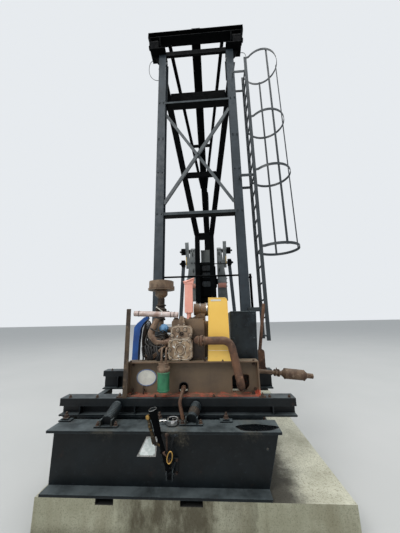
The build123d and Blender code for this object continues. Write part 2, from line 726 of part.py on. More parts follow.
def head_outline(inset):
    """Closed outline of the horse head: a curved face, a top, a back and a foot."""
    low = degrees(inset / HEAD_R) - HEAD_BELOW
    high = HEAD_ABOVE - degrees(inset / HEAD_R)
    face_r = HEAD_R - inset
    arc = ThreePointArc(head_point(low, face_r), head_point((low + high) / 2, face_r), head_point(high, face_r))
    back_low = along_beam(BEAM_LENGTH - 900 + inset, -60 + inset)
    back_high = along_beam(BEAM_LENGTH - 900 + inset, BEAM_DEPTH + 60 - inset)
    rest = Polyline(head_point(high, face_r), head_point(high, face_r - 330 + 2 * inset), back_high, back_low,
                    head_point(low, face_r - 260 + 2 * inset), head_point(low, face_r))
    return make_face([arc, rest])


def horse_head():
    side = Plane(origin=(-HEAD_W / 2, 0, 0), x_dir=(0, 1, 0), z_dir=(1, 0, 0))
    inner = Plane(origin=(-HEAD_W / 2 + HEAD_PLATE, 0, 0), x_dir=(0, 1, 0), z_dir=(1, 0, 0))
    shell = extrude(side * head_outline(0.0), amount=HEAD_W)
    shell -= extrude(inner * head_outline(25.0), amount=HEAD_W - 2 * HEAD_PLATE)
    tail = along_beam(BEAM_TAIL, BEAM_DEPTH / 2)
    nose = along_beam(BEAM_LENGTH - BEAM_DEPTH, BEAM_DEPTH / 2)
    return shell - run((0, tail[0], tail[1]), (0, nose[0], nose[1]), Rectangle(BEAM_FLANGE + 2, BEAM_DEPTH))


# Crank linkage

def equalizer_point():
    return along_beam(EQUALIZER_S, -EQUALIZER_DROP)


def equalizer_bracket():
    """Lugs under the walking beam with the equalizer's pin."""
    y, z = equalizer_point()
    shape = rod((-105, y, z), (105, y, z), 45)
    for x in (-105, 75):
        ends = [along_beam(EQUALIZER_S - 150, 0), along_beam(EQUALIZER_S + 150, 0), (y + 60, z - 50), (y - 60, z - 50)]
        shape += side_plate(ends, x, x + 30)
    return shape


def wrist_point():
    """Wrist pin (y, z) on the leaning crank."""
    turn = radians(CRANK_LEAN)
    return SHAFT_Y - WRIST_R * sin(turn), SHAFT_Z + WRIST_R * cos(turn)


def pitman():
    """Right pitman, loose from the beam and hanging from its wrist pin."""
    y, z = wrist_point()
    middle = (PITMAN_INNER + PITMAN_OUTER) / 2
    width = PITMAN_OUTER - PITMAN_INNER
    housing = block(PITMAN_INNER, PITMAN_OUTER, y - 82, y + 82, z - 95, z + 95)
    bore = rod((PITMAN_INNER - 5, y, z), (PITMAN_OUTER + 5, y, z), WRIST_PIN_R + RUNNING)
    bar = run((middle, y, z - 60), (PITMAN_FOOT_X, y, PITMAN_FOOT - 20), i_section(110, 92, 12, 12))
    below = block(0, 1200, y - 200, y + 200, 0, PITMAN_FOOT)
    return housing + bar - below - bore


def crank_arm():
    """Crank arm along +Z from the shaft: a tapered web with two recesses in each face, and an outer finger."""
    half = CRANK_DEPTH / 2
    outline = [(CRANK_INNER, CRANK_TAIL), (CRANK_INNER, CRANK_TOP), (CRANK_TIP_X, CRANK_TOP), (590, 150),
               (CRANK_OUTER, CRANK_TAIL)]
    arm = rear_plate(outline, -half, half)
    slot_x = (CRANK_INNER + CRANK_TIP_X) / 2
    for radius in CRANK_SLOTS:
        slot = Rot(90, 0, 0) * extrude(SlotOverall(120, 34, rotation=90), SLOT_DEPTH)
        arm -= Pos(slot_x, half, radius) * slot
        arm -= Pos(slot_x, SLOT_DEPTH - half, radius) * slot
    arm += rod((CRANK_INNER, 0, 0), (CRANK_OUTER - 40, 0, 0), CRANK_HUB_R)
    finger = block(FINGER_INNER, FINGER_OUTER, -50, 50, FINGER_FOOT, FINGER_TOP)
    foot = block(FINGER_INNER - 25, FINGER_OUTER, -60, 60, FINGER_FOOT, FINGER_FOOT + 90)
    return arm + finger + foot + crank_stud()


def crank_stud():
    """Stud through the finger with a large knob outside it and a small one inside."""
    z = STUD_RADIUS
    stud = rod((FINGER_INNER - 60, 0, z), (STUD_END, 0, z), 18)
    stud += rod((FINGER_OUTER, 0, z), (STUD_END - 15, 0, z), KNOB_R)
    return stud + rod((FINGER_INNER - 46, 0, z), (FINGER_INNER - 6, 0, z), SMALL_KNOB_R)


def crank():
    """Right crank with its wrist pin, leaning back from the upright."""
    pin = rod((CRANK_TIP_X, 0, WRIST_R), (PITMAN_OUTER + 18, 0, WRIST_R), WRIST_PIN_R)
    pin += rod((PITMAN_OUTER + 6, 0, WRIST_R), (PITMAN_OUTER + 18, 0, WRIST_R), PITMAN_CAP_R)
    return Pos(0, SHAFT_Y, SHAFT_Z) * Rot(CRANK_LEAN, 0, 0) * (crank_arm() + pin)


def on_reducer(shape, side=1):
    """A piece placed on the reducer's centreline, or its mirror image there."""
    piece = shape if side > 0 else mirror(shape, about=Plane.YZ)
    return Pos(REDUCER_X, 0, 0) * piece


def crank_shaft():
    return rod((-CRANK_INNER, SHAFT_Y, SHAFT_Z), (CRANK_INNER, SHAFT_Y, SHAFT_Z), 90)


def reducer_housing():
    """Split gear case with a bearing boss for each of its three shafts."""
    y0, y1 = SHAFT_Y - 430, SHAFT_Y + 900
    outline = [(y0, 2020), (y0 + 60, PEDESTAL_TOP), (y1 - 60, PEDESTAL_TOP), (y1, 2020), (y1, 2700),
               (y1 - 330, CASE_TOP), (y0 + 60, CASE_TOP), (y0, 2960)]
    case = side_plate(outline, -CASE_HALF, CASE_HALF)
    flange = block(-CASE_HALF - 40, CASE_HALF + 40, y0 - 25, y1 + 40, SHAFT_Z - 30, SHAFT_Z + 30)
    bosses = rod((-CASE_HALF - 60, SHAFT_Y, SHAFT_Z), (CASE_HALF + 60, SHAFT_Y, SHAFT_Z), 190)
    for y, radius in ((SHAFT_Y + 400, 130), (SHAFT_Y + 720, 95)):
        bosses += rod((-CASE_HALF - 50, y, SHAFT_Z), (CASE_HALF + 50, y, SHAFT_Z), radius)
    for y in (SHAFT_Y - 300, SHAFT_Y + 235, SHAFT_Y + 565):
        case += block(-CASE_HALF - 30, CASE_HALF + 30, y - 12, y + 12, PEDESTAL_TOP, 2920)
    bore = rod((-400, SHAFT_Y, SHAFT_Z), (400, SHAFT_Y, SHAFT_Z), 90 + RUNNING)
    return case + flange + bosses - bore


def reducer_top_box():
    return block(-TOP_BOX_HALF, TOP_BOX_HALF, SHAFT_Y - 350, SHAFT_Y + 150, CASE_TOP, TOP_BOX_TOP)


def reducer_pedestal():
    y0, y1 = SHAFT_Y - 430, SHAFT_Y + 900
    wide = PEDESTAL_HALF
    frame = block(-wide, wide, y0, y1, 0, PEDESTAL_TOP)
    frame -= block(-wide - 1, wide + 1, y0 + 150, y1 - 150, 200, PEDESTAL_TOP - 200)
    frame -= block(80 - wide, wide - 80, y0 - 1, y1 + 1, 200, PEDESTAL_TOP - 200)
    return frame


def guard_rails():
    inner = LEG_X - LEG_FLANGE / 2
    front = rod((-inner, 60, 2130), (inner, 60, 2130), 17)
    side = rod((GUARD_POST_X, 900, REAR_BEAM_H), (GUARD_POST_X, 900, 1850), 20)
    side += rod((GUARD_POST_X, 170, REAR_BEAM_H), (GUARD_POST_X, 170, 1850), 20)
    for z in (1480, 1830):
        side += rod((GUARD_POST_X, 170, z), (GUARD_POST_X, 900, z), 17)
    return group([front, side, conduit()])


def conduit():
    """Upright tube clipped to the right rear leg."""
    tube = rod((905, -40, 520), (905, -40, 2130), 22)
    for z in (640, 2050):
        tube += block(LEG_X + LEG_FLANGE / 2, 930, -70, -10, z, z + 25)
    return tube


# Ladder and cage

def ladder():
    shape = None
    for y in (RAIL_REAR, RAIL_FRONT):
        rail = block(LADDER_X - 32, LADDER_X + 32, y - 6, y + 6, LADDER_FOOT, LADDER_TOP)
        shape = rail if shape is None else shape + rail
    for index in range(RUNG_COUNT):
        z = RUNG_FIRST + index * RUNG_PITCH
        shape += rod((LADDER_X, RAIL_REAR, z), (LADDER_X, RAIL_FRONT, z), RUNG_R)
    return shape


def ladder_brackets():
    """Arms from the right rear leg to the two ladder rails."""
    bars = []
    outer = LEG_X + LEG_FLANGE / 2
    face = LEG_DEPTH / 2
    for z in ARM_LEVELS:
        for y, near in ((RAIL_REAR, -face), (RAIL_FRONT, face)):
            arm = block(outer - 60, LADDER_X - 32, y - 6, y + 6, z - 28, z + 28)
            foot = block(outer - 60, outer - 48, min(y, near), max(y, near), z - 28, z + 28)
            bars.append(arm + foot)
    return group(bars)


def hoop(z):
    """A hoop of flat bar, open at the ladder, with a short tab to each rail."""
    ring = Cylinder(CAGE_R + HOOP_T / 2, HOOP_H) - Cylinder(CAGE_R - HOOP_T / 2, HOOP_H + 10)
    half = radians(HOOP_HALF_ANGLE)
    reach = 3 * CAGE_R
    gap = [(0, 0), (reach * cos(half), reach * sin(half)), (-reach, 0), (reach * cos(half), -reach * sin(half))]
    wedge = extrude(make_face(Polyline(*gap, close=True)), 40, both=True)
    shape = Pos(CAGE_X, CAGE_Y, z) * (ring - wedge)
    end_x = CAGE_X + CAGE_R * cos(half)
    end_y = CAGE_R * sin(half)
    tabs = ((RAIL_REAR - 6, CAGE_Y - end_y), (RAIL_FRONT + 6, CAGE_Y + end_y))
    for rail_y, hoop_y in tabs:
        shape += run((LADDER_X + 20, rail_y, z), (end_x + 6, hoop_y, z), Rectangle(8, HOOP_H), x_dir=(0, 1, 0))
    return shape


def cage_hoops():
    return group([hoop(z) for z in HOOP_LEVELS])


def cage_bars():
    bars = []
    radius = CAGE_R - HOOP_T / 2 - CAGE_BAR_T / 2 - 0.2
    height = HOOP_LEVELS[-1] - HOOP_LEVELS[0] + HOOP_H
    middle = (HOOP_LEVELS[0] + HOOP_LEVELS[-1]) / 2
    for angle in CAGE_BAR_ANGLES:
        turn = radians(angle)
        centre = Pos(CAGE_X + radius * cos(turn), CAGE_Y + radius * sin(turn), middle)
        bars.append(centre * Rot(0, 0, angle) * Box(CAGE_BAR_T, CAGE_BAR_W, height))
    return group(bars)


PARTS = {
    "foundation_slab": foundation_slab(),
    "rear_cross_beam": rear_cross_beam(),
    "left_skid_beam": skid_beam(-1),
    "right_skid_beam": skid_beam(1),
    "sill_beams": sill_beams(),
    "platform_beam": platform_beam(),
    "rear_engine_cross_beam": cross_beam(CROSS_REAR_Y, CROSS_H),
    "front_engine_cross_beam": cross_beam(CROSS_FRONT_Y, CROSS_FRONT_H),
    "brace_pipes": brace_pipes(),
    "engine_skid_rear_beam": engine_skid_rear_beam(),
    "engine_skid_rails": engine_skid_rails(),
    "engine_skid_floor": engine_skid_floor(),
    "left_upright_post": left_upright_post(),
    "engine_block": engine_block(),
    "engine_end_covers": engine_end_covers(),
    "coolant_tank": coolant_tank(),
    "engine_pipes": engine_pipes(),
    "air_cleaner": air_cleaner(),
    "oil_filter": oil_filter(),
    "fan_shroud": fan_shroud(),
    "fan_guard": fan_guard(),
    "engine_accessories": engine_accessories(),
    "clutch_guard": clutch_guard(),
    "belt_guard": belt_guard(),
    "exhaust_pipe": exhaust_pipe(),
    "muffler": muffler(),
    "control_rod": control_rod(),
    "drain_pipe": drain_pipe(),
    "gauge": gauge(),
    "lever_bracket": lever_bracket(),
    "brake_lever": brake_lever(),
    "left_rear_leg": rear_leg(-1),
    "right_rear_leg": rear_leg(1),
    "tower_cross_bars": tower_cross_bars(),
    "rising_brace": brace_bar(1),
    "falling_brace": brace_bar(-1),
    "left_front_leg": front_leg(-1),
    "right_front_leg": front_leg(1),
    "lower_legs": lower_legs(),
    "front_leg_ties": front_leg_ties(),
    "beam_bearings": beam_bearings(),
    "grease_lines": grease_lines(),
    "reducer_pedestal": on_reducer(reducer_pedestal()),
    "reducer_housing": on_reducer(reducer_housing()),
    "reducer_top_box": on_reducer(reducer_top_box()),
    "guard_rails": guard_rails(),
    "ladder": ladder(),
    "ladder_brackets": ladder_brackets(),
    "cage_hoops": cage_hoops(),
    "cage_bars": cage_bars(),
    "tail_cross_beam": tail_cross_beam(),
    "walking_beam": walking_beam() + equalizer_bracket(),
    "beam_struts": beam_struts(),
    "horse_head": horse_head(),
    "crank_shaft": on_reducer(crank_shaft()),
    "left_crank": on_reducer(crank(), -1),
    "right_crank": on_reducer(crank()),
    "left_pitman": on_reducer(pitman(), -1),
    "right_pitman": on_reducer(pitman()),
}

# Each piece on the left ends at the faces of the pieces on the right.
TRIMS = {
    "engine_pipes": ("engine_block", "engine_end_covers"),
    "exhaust_pipe": ("engine_block", "engine_end_covers"),
    "oil_filter": ("engine_block", "engine_end_covers", "engine_pipes", "engine_skid_rear_beam"),
    "engine_end_covers": ("engine_block",),
    "fan_guard": ("fan_shroud", "engine_block"),
    "air_cleaner": ("engine_block", "engine_pipes"),
    "coolant_tank": ("engine_block",),
    "engine_accessories": ("engine_block", "engine_skid_floor"),
    "muffler": ("exhaust_pipe",),
    "engine_skid_rails": ("muffler",),
    "brace_pipes": ("rear_cross_beam", "rear_engine_cross_beam"),
    "beam_bearings": ("left_rear_leg", "right_rear_leg", "tower_cross_bars"),
    "grease_lines": ("beam_bearings", "left_rear_leg", "right_rear_leg", "ladder"),
    "rising_brace": ("left_rear_leg", "right_rear_leg", "tower_cross_bars"),
    "falling_brace": ("left_rear_leg", "right_rear_leg", "tower_cross_bars"),
    "tower_cross_bars": ("left_rear_leg", "right_rear_leg"),
    "front_leg_ties": ("left_front_leg", "right_front_leg", "lower_legs"),
    "left_front_leg": ("left_rear_leg", "lower_legs"),
    "right_front_leg": ("right_rear_leg", "lower_legs"),
    "cage_hoops": ("ladder",),
    "cage_bars": ("cage_hoops",),
    "beam_struts": ("tail_cross_beam", "walking_beam"),
    "guard_rails": ("left_rear_leg", "right_rear_leg", "right_skid_beam", "ladder_brackets"),
    "drain_pipe": ("rear_cross_beam", "engine_skid_rear_beam"),
}


def trim(node):
    """A piece with the solids that it meets cut away."""
    shape = PARTS[node]
    for other in TRIMS.get(node, ()):
        shape = shape - PARTS[other]
    return shape


for node in PARTS:
    save(node, trim(node))
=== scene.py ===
import bmesh
import bpy
from itertools import product
from math import cos, pi, radians, sin
from mathutils import Matrix, Vector


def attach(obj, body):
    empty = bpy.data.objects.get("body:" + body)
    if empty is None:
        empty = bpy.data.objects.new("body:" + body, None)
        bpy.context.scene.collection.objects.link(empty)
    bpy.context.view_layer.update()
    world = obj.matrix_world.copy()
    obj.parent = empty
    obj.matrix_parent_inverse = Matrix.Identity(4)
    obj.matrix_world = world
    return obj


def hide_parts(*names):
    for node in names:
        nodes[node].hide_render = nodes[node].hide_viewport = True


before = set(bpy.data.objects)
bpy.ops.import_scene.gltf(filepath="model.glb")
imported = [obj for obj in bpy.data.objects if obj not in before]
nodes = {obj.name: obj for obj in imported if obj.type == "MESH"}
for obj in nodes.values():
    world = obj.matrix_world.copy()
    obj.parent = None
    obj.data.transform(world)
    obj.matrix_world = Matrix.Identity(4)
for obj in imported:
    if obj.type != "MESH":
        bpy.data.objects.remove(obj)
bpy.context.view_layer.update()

# Heights in the details are metres above the plinth's top.
PLINTH = 0.25

# Photograph's view
CAMERA_AT = (0.236, -4.19, 1.57)
CAMERA_YAW = 0.0585
CAMERA_PITCH = 0.231
CAMERA_ROLL = 0.0208
CAMERA_LENS = 15.47

# Colours, each as three values from 0 to 255
RUST = (104, 62, 40)
RUST_DARK = (62, 40, 32)
DUST = (128, 122, 108)
COOL_DUST = (116, 126, 128)

# Pocket in the plinth's face under the rear beam, where the concrete gets painted shade: the face's Y, then
# the lintel's height above ground
SLAB_BACK = -2.12
POCKET_TOP = 0.2495

MATERIALS = {}


def linear(color):
    """Linear colour from three values of 0 to 255."""
    shares = [value / 255 for value in color]
    return [s / 12.92 if s <= 0.04045 else ((s + 0.055) / 1.055) ** 2.4 for s in shares] + [1]


# Materials

class Tree:
    """Lays out shader nodes."""

    def __init__(self, node_tree):
        self.nodes = node_tree.nodes
        self.links = node_tree.links

    def feed(self, socket, value):
        """Links a socket to another one, or sets its value."""
        if isinstance(value, bpy.types.NodeSocket):
            self.links.new(value, socket)
        elif socket.type == "RGBA" and len(value) == 3:
            socket.default_value = linear(value)
        else:
            socket.default_value = value

    def add(self, kind, inputs=None, **settings):
        """New node with its settings, then what feeds each of its inputs."""
        node = self.nodes.new("ShaderNode" + kind)
        for name, value in settings.items():
            setattr(node, name, value)
        for name, value in (inputs or {}).items():
            self.feed(node.inputs[name], value)
        return node


class Paint(Tree):
    """One material: its colour is built up in coats, placed by the object's own metres."""

    def __init__(self, name, roughness=0.5, metallic=0):
        self.material = bpy.data.materials.new(name)
        self.material.use_nodes = True
        super().__init__(self.material.node_tree)
        self.name = name
        self.color = None
        self.shader = self.nodes["Principled BSDF"]
        self.shader.inputs["Roughness"].default_value = roughness
        self.shader.inputs["Metallic"].default_value = metallic
        self.place = self.add("TexCoord")

    def stretched(self, scale=(1, 1, 1), offset=(0, 0, 0)):
        place = {"Vector": self.place.outputs["Object"], "Scale": scale, "Location": offset}
        return self.add("Mapping", place).outputs["Vector"]

    def noise(self, scale, detail=5, rough=0.6, stretch=(1, 1, 1), warp=0, offset=(0, 0, 0)):
        field = {"Vector": self.stretched(stretch, offset), "Scale": scale, "Detail": detail,
                 "Roughness": rough, "Distortion": warp}
        return self.add("TexNoise", field).outputs["Fac"]

    def cells(self, scale):
        return self.add("TexVoronoi", {"Vector": self.stretched(), "Scale": scale}).outputs["Distance"]

    def ramp(self, value, low, high, out_low=0, out_high=1):
        """Share of the way from low to high, held at the ends."""
        span = {"Value": value, "From Min": low, "From Max": high, "To Min": out_low, "To Max": out_high}
        return self.add("MapRange", span, interpolation_type="SMOOTHSTEP").outputs["Result"]

    def maths(self, operation, first, second=0):
        return self.add("Math", {0: first, 1: second}, operation=operation).outputs["Value"]

    def times(self, first, second):
        return self.maths("MULTIPLY", first, second)

    def plus(self, first, second):
        return self.maths("ADD", first, second)

    def blend(self, first, second, share):
        return self.add("Mix", {"Factor": share, "A": first, "B": second},
                        data_type="RGBA").outputs["Result"]

    def coat(self, color, share):
        """Lays a colour over what is there."""
        self.color = self.blend(self.color, color, share)

    def axis(self, name, output="Object"):
        return self.add("SeparateXYZ", {"Vector": self.place.outputs[output]}).outputs[name]

    def dusty(self, noise, low, high, least, most, color=DUST):
        """Dust on the faces that look up; returns its share."""
        upward = self.ramp(self.axis("Z", "Normal"), 0.35, 0.95)
        share = self.times(upward, self.ramp(noise, low, high, least, most))
        self.coat(color, share)
        return share

    def rub_edges(self, radius, color, amount):
        """Another colour along the sharp edges, broken up."""
        bevel = self.add("Bevel", {"Radius": radius}, samples=4)
        normals = {0: bevel.outputs["Normal"], 1: self.add("NewGeometry").outputs["Normal"]}
        turned = self.add("VectorMath", normals, operation="DOT_PRODUCT").outputs["Value"]
        broken = self.ramp(self.noise(18, 6, 0.7), 0.35, 0.62, 0.1, amount)
        self.coat(color, self.times(self.ramp(turned, 0.995, 0.9), broken))

    def bump(self, height, strength, distance):
        node = self.add("Bump", {"Height": height, "Strength": strength, "Distance": distance})
        self.feed(self.shader.inputs["Normal"], node.outputs["Normal"])

    def finish(self, rough=None):
        self.feed(self.shader.inputs["Base Color"], self.color)
        if rough is not None:
            self.feed(self.shader.inputs["Roughness"], rough)
        MATERIALS[self.name] = self.material


def worn_paint(name, base, shade, edge=(110, 108, 102), rough=0.5, mottle=2.5, dust=0.35, rust=0.15,
               edge_wear=0.6, streaks=0.25, chips=0, chip_color=(120, 118, 112), grain=0.25,
               edge_radius=0.006, shine=0.5, under=0, dust_color=DUST, above=None, grime=()):
    """Old paint: patchy tone, pale scuffs, run marks, rust spots, dust on top faces and worn edges.

    under is how much painted shade darkens the undersides; above is (low, high, base, shade) for another
    colour higher up, which on the engine's tan parts is painted shade low down and painted light on top;
    grime lists dirty places.
    """
    p = Paint(name, rough)
    p.shader.inputs["Specular IOR Level"].default_value = shine
    if above:
        low, high, upper_base, upper_shade = above
        turn = p.ramp(p.axis("Z"), low, high)
        base = p.blend(base, upper_base, turn)
        shade = p.blend(shade, upper_shade, turn)
    p.color = p.blend(base, shade, p.ramp(p.noise(mottle, 8, 0.62), 0.36, 0.66))
    fine = p.noise(45, 4, 0.7)
    p.coat(p.blend(shade, edge, 0.35), p.ramp(fine, 0.56, 0.8, 0, 0.5))
    runs = p.noise(9, 6, 0.65, stretch=(1, 1, 0.1), warp=0.4)
    p.coat(edge, p.ramp(runs, 0.6, 0.82, 0, streaks))
    scuffs = p.noise(14, 9, 0.72, stretch=(0.35, 0.35, 1), offset=(3.1, 1.7, 0.4))
    p.coat(edge, p.ramp(scuffs, 0.62, 0.74, 0, streaks))
    if chips:
        flake = p.ramp(p.noise(24, 7, 0.6, offset=(7, 2, 5)), 0.6, 0.64)
        patch = p.ramp(p.noise(3.4, 3, 0.5, offset=(1, 9, 4)), 0.48, 0.6, 0, chips)
        p.coat(chip_color, p.times(flake, patch))
    spots = p.noise(7, 10, 0.68, offset=(5, 3, 8))
    p.coat(p.blend(RUST, RUST_DARK, fine), p.ramp(spots, 0.6, 0.72, 0, rust))
    p.rub_edges(edge_radius, edge, edge_wear)
    settled = p.dusty(p.noise(5, 7, 0.65), 0.25, 0.7, 0.25 * dust, dust, dust_color)
    for x, z, radius, amount in grime:
        across, up = p.maths("SUBTRACT", p.axis("X"), x), p.maths("SUBTRACT", p.axis("Z"), z)
        far = p.maths("SQRT", p.plus(p.times(across, across), p.times(up, up)))
        far = p.plus(far, p.times(p.noise(22, 9, 0.8), 3.2 * radius))
        broken = p.ramp(p.noise(45, 8, 0.8, offset=(x, z, 0)), 0.46, 0.6, 0.15, amount)
        p.coat((98, 92, 78), p.times(p.ramp(far, 2.9 * radius, 1.7 * radius), broken))
    # Painted shade: darkens the faces that look down.
    if under:
        p.coat((4, 5, 6), p.ramp(p.axis("Z", "Normal"), -0.15, -0.7, 0, under))
    p.bump(p.plus(p.times(fine, 0.5), p.noise(160, 3, 0.6)), grain, 0.0008)
    matt = p.ramp(p.noise(11, 5, 0.6), 0.3, 0.7, rough - 0.1, rough + 0.12)
    p.finish(p.plus(matt, p.times(settled, 0.35)))


def concrete():
    """Old cast concrete: gritty and pitted, with run marks and a wet stain; painted shade on the side faces
    and in the pocket, and an oil stain with painted shadow under the engine.
    """
    p = Paint("concrete", 0.9)
    p.color = p.blend((160, 158, 139), (204, 203, 184), p.ramp(p.noise(1.6, 9, 0.6), 0.33, 0.66))
    grit = p.noise(90, 4, 0.75)
    p.coat((120, 118, 102), p.ramp(grit, 0.5, 0.64, 0, 0.8))
    p.coat((142, 140, 120), p.ramp(p.noise(7, 8, 0.7, offset=(1, 6, 2)), 0.52, 0.68, 0, 0.45))
    p.coat((208, 205, 196), p.ramp(p.noise(130, 3, 0.6, offset=(4, 4, 1)), 0.6, 0.75, 0, 0.5))
    pits = p.times(p.ramp(p.cells(38), 0, 0.11, 1, 0), p.ramp(p.noise(17, 2, 0.5), 0.52, 0.6))
    p.coat((72, 66, 58), p.times(pits, 0.85))
    wall = p.ramp(p.axis("Z", "Normal"), 0.7, 0.2)
    # Side faces darker and yellower than the top: painted shade.
    p.coat((126, 126, 100), p.times(wall, 0.5))
    drip = p.ramp(p.noise(6, 6, 0.65, stretch=(1, 1, 0.12)), 0.45, 0.7, 0, 0.4)
    p.coat((108, 98, 72), p.times(wall, drip))
    ragged = p.plus(p.axis("X"), p.times(p.noise(7, 7, 0.7, stretch=(1, 1, 0.35)), 0.5))
    stain = p.plus(p.ramp(ragged, 0.5, 0.38, 0, 0.4), p.ramp(ragged, 0.8, 0.76, 0, 0.36))
    patchy = p.noise(5, 9, 0.7, stretch=(1, 1, 0.5), offset=(3, 0, 1))
    stain = p.times(stain, p.ramp(patchy, 0.34, 0.6, 0.35, 1.15))
    stain = p.times(p.ramp(ragged, -0.36, -0.14), stain)
    p.coat((62, 54, 36), p.times(wall, stain))
    across = p.maths("ABSOLUTE", p.axis("X"))
    # Dark oil stain on the top faces under the engine, spread and darkened to also paint the shadow there.
    oil_and_shadow = p.plus(across, p.times(p.noise(2.2, 8, 0.7), 0.5))
    oil_and_shadow = p.times(p.ramp(oil_and_shadow, 1.2, 0.98), p.ramp(p.axis("Y"), 1.2, 0.2))
    p.coat((38, 34, 27), p.times(p.maths("SUBTRACT", 1, wall), p.times(oil_and_shadow, 0.92)))
    # Painted shade inside the pocket under the rear beam.
    near = p.ramp(p.axis("Y"), SLAB_BACK + 0.003, SLAB_BACK + 0.01)
    pocket_shade = p.times(near, p.ramp(p.axis("Y"), SLAB_BACK + 0.11, SLAB_BACK + 0.1))
    pocket_shade = p.times(pocket_shade, p.ramp(p.axis("Z"), POCKET_TOP, POCKET_TOP - 0.0035))
    p.coat((14, 14, 12), p.times(pocket_shade, p.ramp(across, 1, 0.9)))
    damp = p.times(p.ramp(p.axis("Z"), 0.1, 0, 0, 0.6), p.ramp(grit, 0.3, 0.6, 0.5, 1))
    p.coat((84, 80, 62), p.times(wall, damp))
    relief = p.plus(grit, p.noise(28, 6, 0.6))
    p.bump(p.maths("SUBTRACT", relief, p.times(pits, 1.6)), 0.5, 0.003)
    p.finish()


def rusty(name, base, dark, light, rough=0.75, metallic=0.15, scale=9):
    """Bare steel that has rusted all over."""
    p = Paint(name, rough, metallic)
    p.color = p.blend(base, dark, p.ramp(p.noise(scale, 9, 0.68), 0.36, 0.66))
    p.coat(light, p.ramp(p.noise(scale * 2.3, 8, 0.7, offset=(2, 5, 1)), 0.54, 0.74, 0, 0.8))
    p.coat(dark, p.ramp(p.noise(60, 4, 0.7), 0.55, 0.75, 0, 0.6))
    p.dusty(p.noise(6, 5, 0.6), 0.3, 0.7, 0.05, 0.3)
    p.bump(p.noise(110, 5, 0.7), 0.45, 0.0012)
    p.finish(p.ramp(p.noise(20, 4, 0.6), 0.3, 0.7, rough - 0.12, min(rough + 0.15, 1)))


def metal(name, color, rough=0.3, metallic=1, tarnish=(96, 84, 68), amount=0.5):
    p = Paint(name, rough, metallic)
    p.color = p.blend(color, tarnish, p.ramp(p.noise(30, 7, 0.65), 0.45, 0.68, 0, amount))
    p.bump(p.noise(220, 3, 0.6), 0.15, 0.0005)
    p.finish(p.ramp(p.noise(42, 4, 0.6), 0.3, 0.7, max(rough - 0.1, 0.05), rough + 0.15))


def rubber():
    p = Paint("rubber", 0.5)
    p.color = p.blend((14, 14, 15), (40, 36, 33), p.ramp(p.noise(20, 6, 0.6), 0.38, 0.68))
    p.dusty(p.noise(9, 5, 0.6), 0.3, 0.7, 0.05, 0.3)
    p.bump(p.noise(140, 3, 0.6), 0.2, 0.0006)
    p.finish(p.ramp(p.noise(25, 4, 0.6), 0.3, 0.7, 0.42, 0.62))


def skid_brown():
    """Brown skid paint, gone to red primer along the bottom edge and in the right corner."""
    p = Paint("skid_brown", 0.6)
    p.color = p.blend((106, 88, 68), (86, 72, 58), p.ramp(p.noise(2.2, 8, 0.6), 0.36, 0.66))
    fine = p.noise(55, 5, 0.7)
    p.coat((124, 106, 84), p.ramp(fine, 0.54, 0.78, 0, 0.5))
    runs = p.noise(8, 6, 0.65, stretch=(1, 1, 0.1), warp=0.3)
    p.coat((72, 56, 44), p.ramp(runs, 0.55, 0.78, 0, 0.6))
    ragged = p.plus(p.axis("Z"), p.times(p.noise(16, 7, 0.7, stretch=(1, 1, 2)), -0.09))
    corner = p.maths("SUBTRACT", p.axis("Z"), p.times(p.axis("X"), 1.1))
    corner = p.plus(corner, p.times(p.noise(20, 7, 0.7), -0.12))
    strip = p.maths("MAXIMUM", p.ramp(ragged, 0.838, 0.806), p.ramp(corner, 0.17, 0.145))
    primer = p.blend((216, 98, 72), (150, 78, 56), p.ramp(p.noise(14, 8, 0.7), 0.45, 0.72))
    primer = p.blend(primer, (222, 160, 132), p.ramp(fine, 0.52, 0.74, 0, 0.8))
    p.coat(primer, strip)
    p.rub_edges(0.006, (150, 96, 72), 0.7)
    p.dusty(p.noise(5, 7, 0.65), 0.25, 0.7, 0.1, 0.4)
    p.bump(p.plus(fine, p.noise(150, 3, 0.6)), 0.3, 0.001)
    p.finish(p.ramp(fine, 0.3, 0.7, 0.5, 0.72))


# Dirty places on the rear beam: x, z, radius and amount
BEAM_GRIME = ((-0.08, 0.61, 0.06, 0.8), (-0.12, 0.705, 0.12, 0.6), (0.5, 0.705, 0.1, 0.4),
              (-0.72, 0.705, 0.1, 0.4), (-0.16, 0.4, 0.05, 0.5))


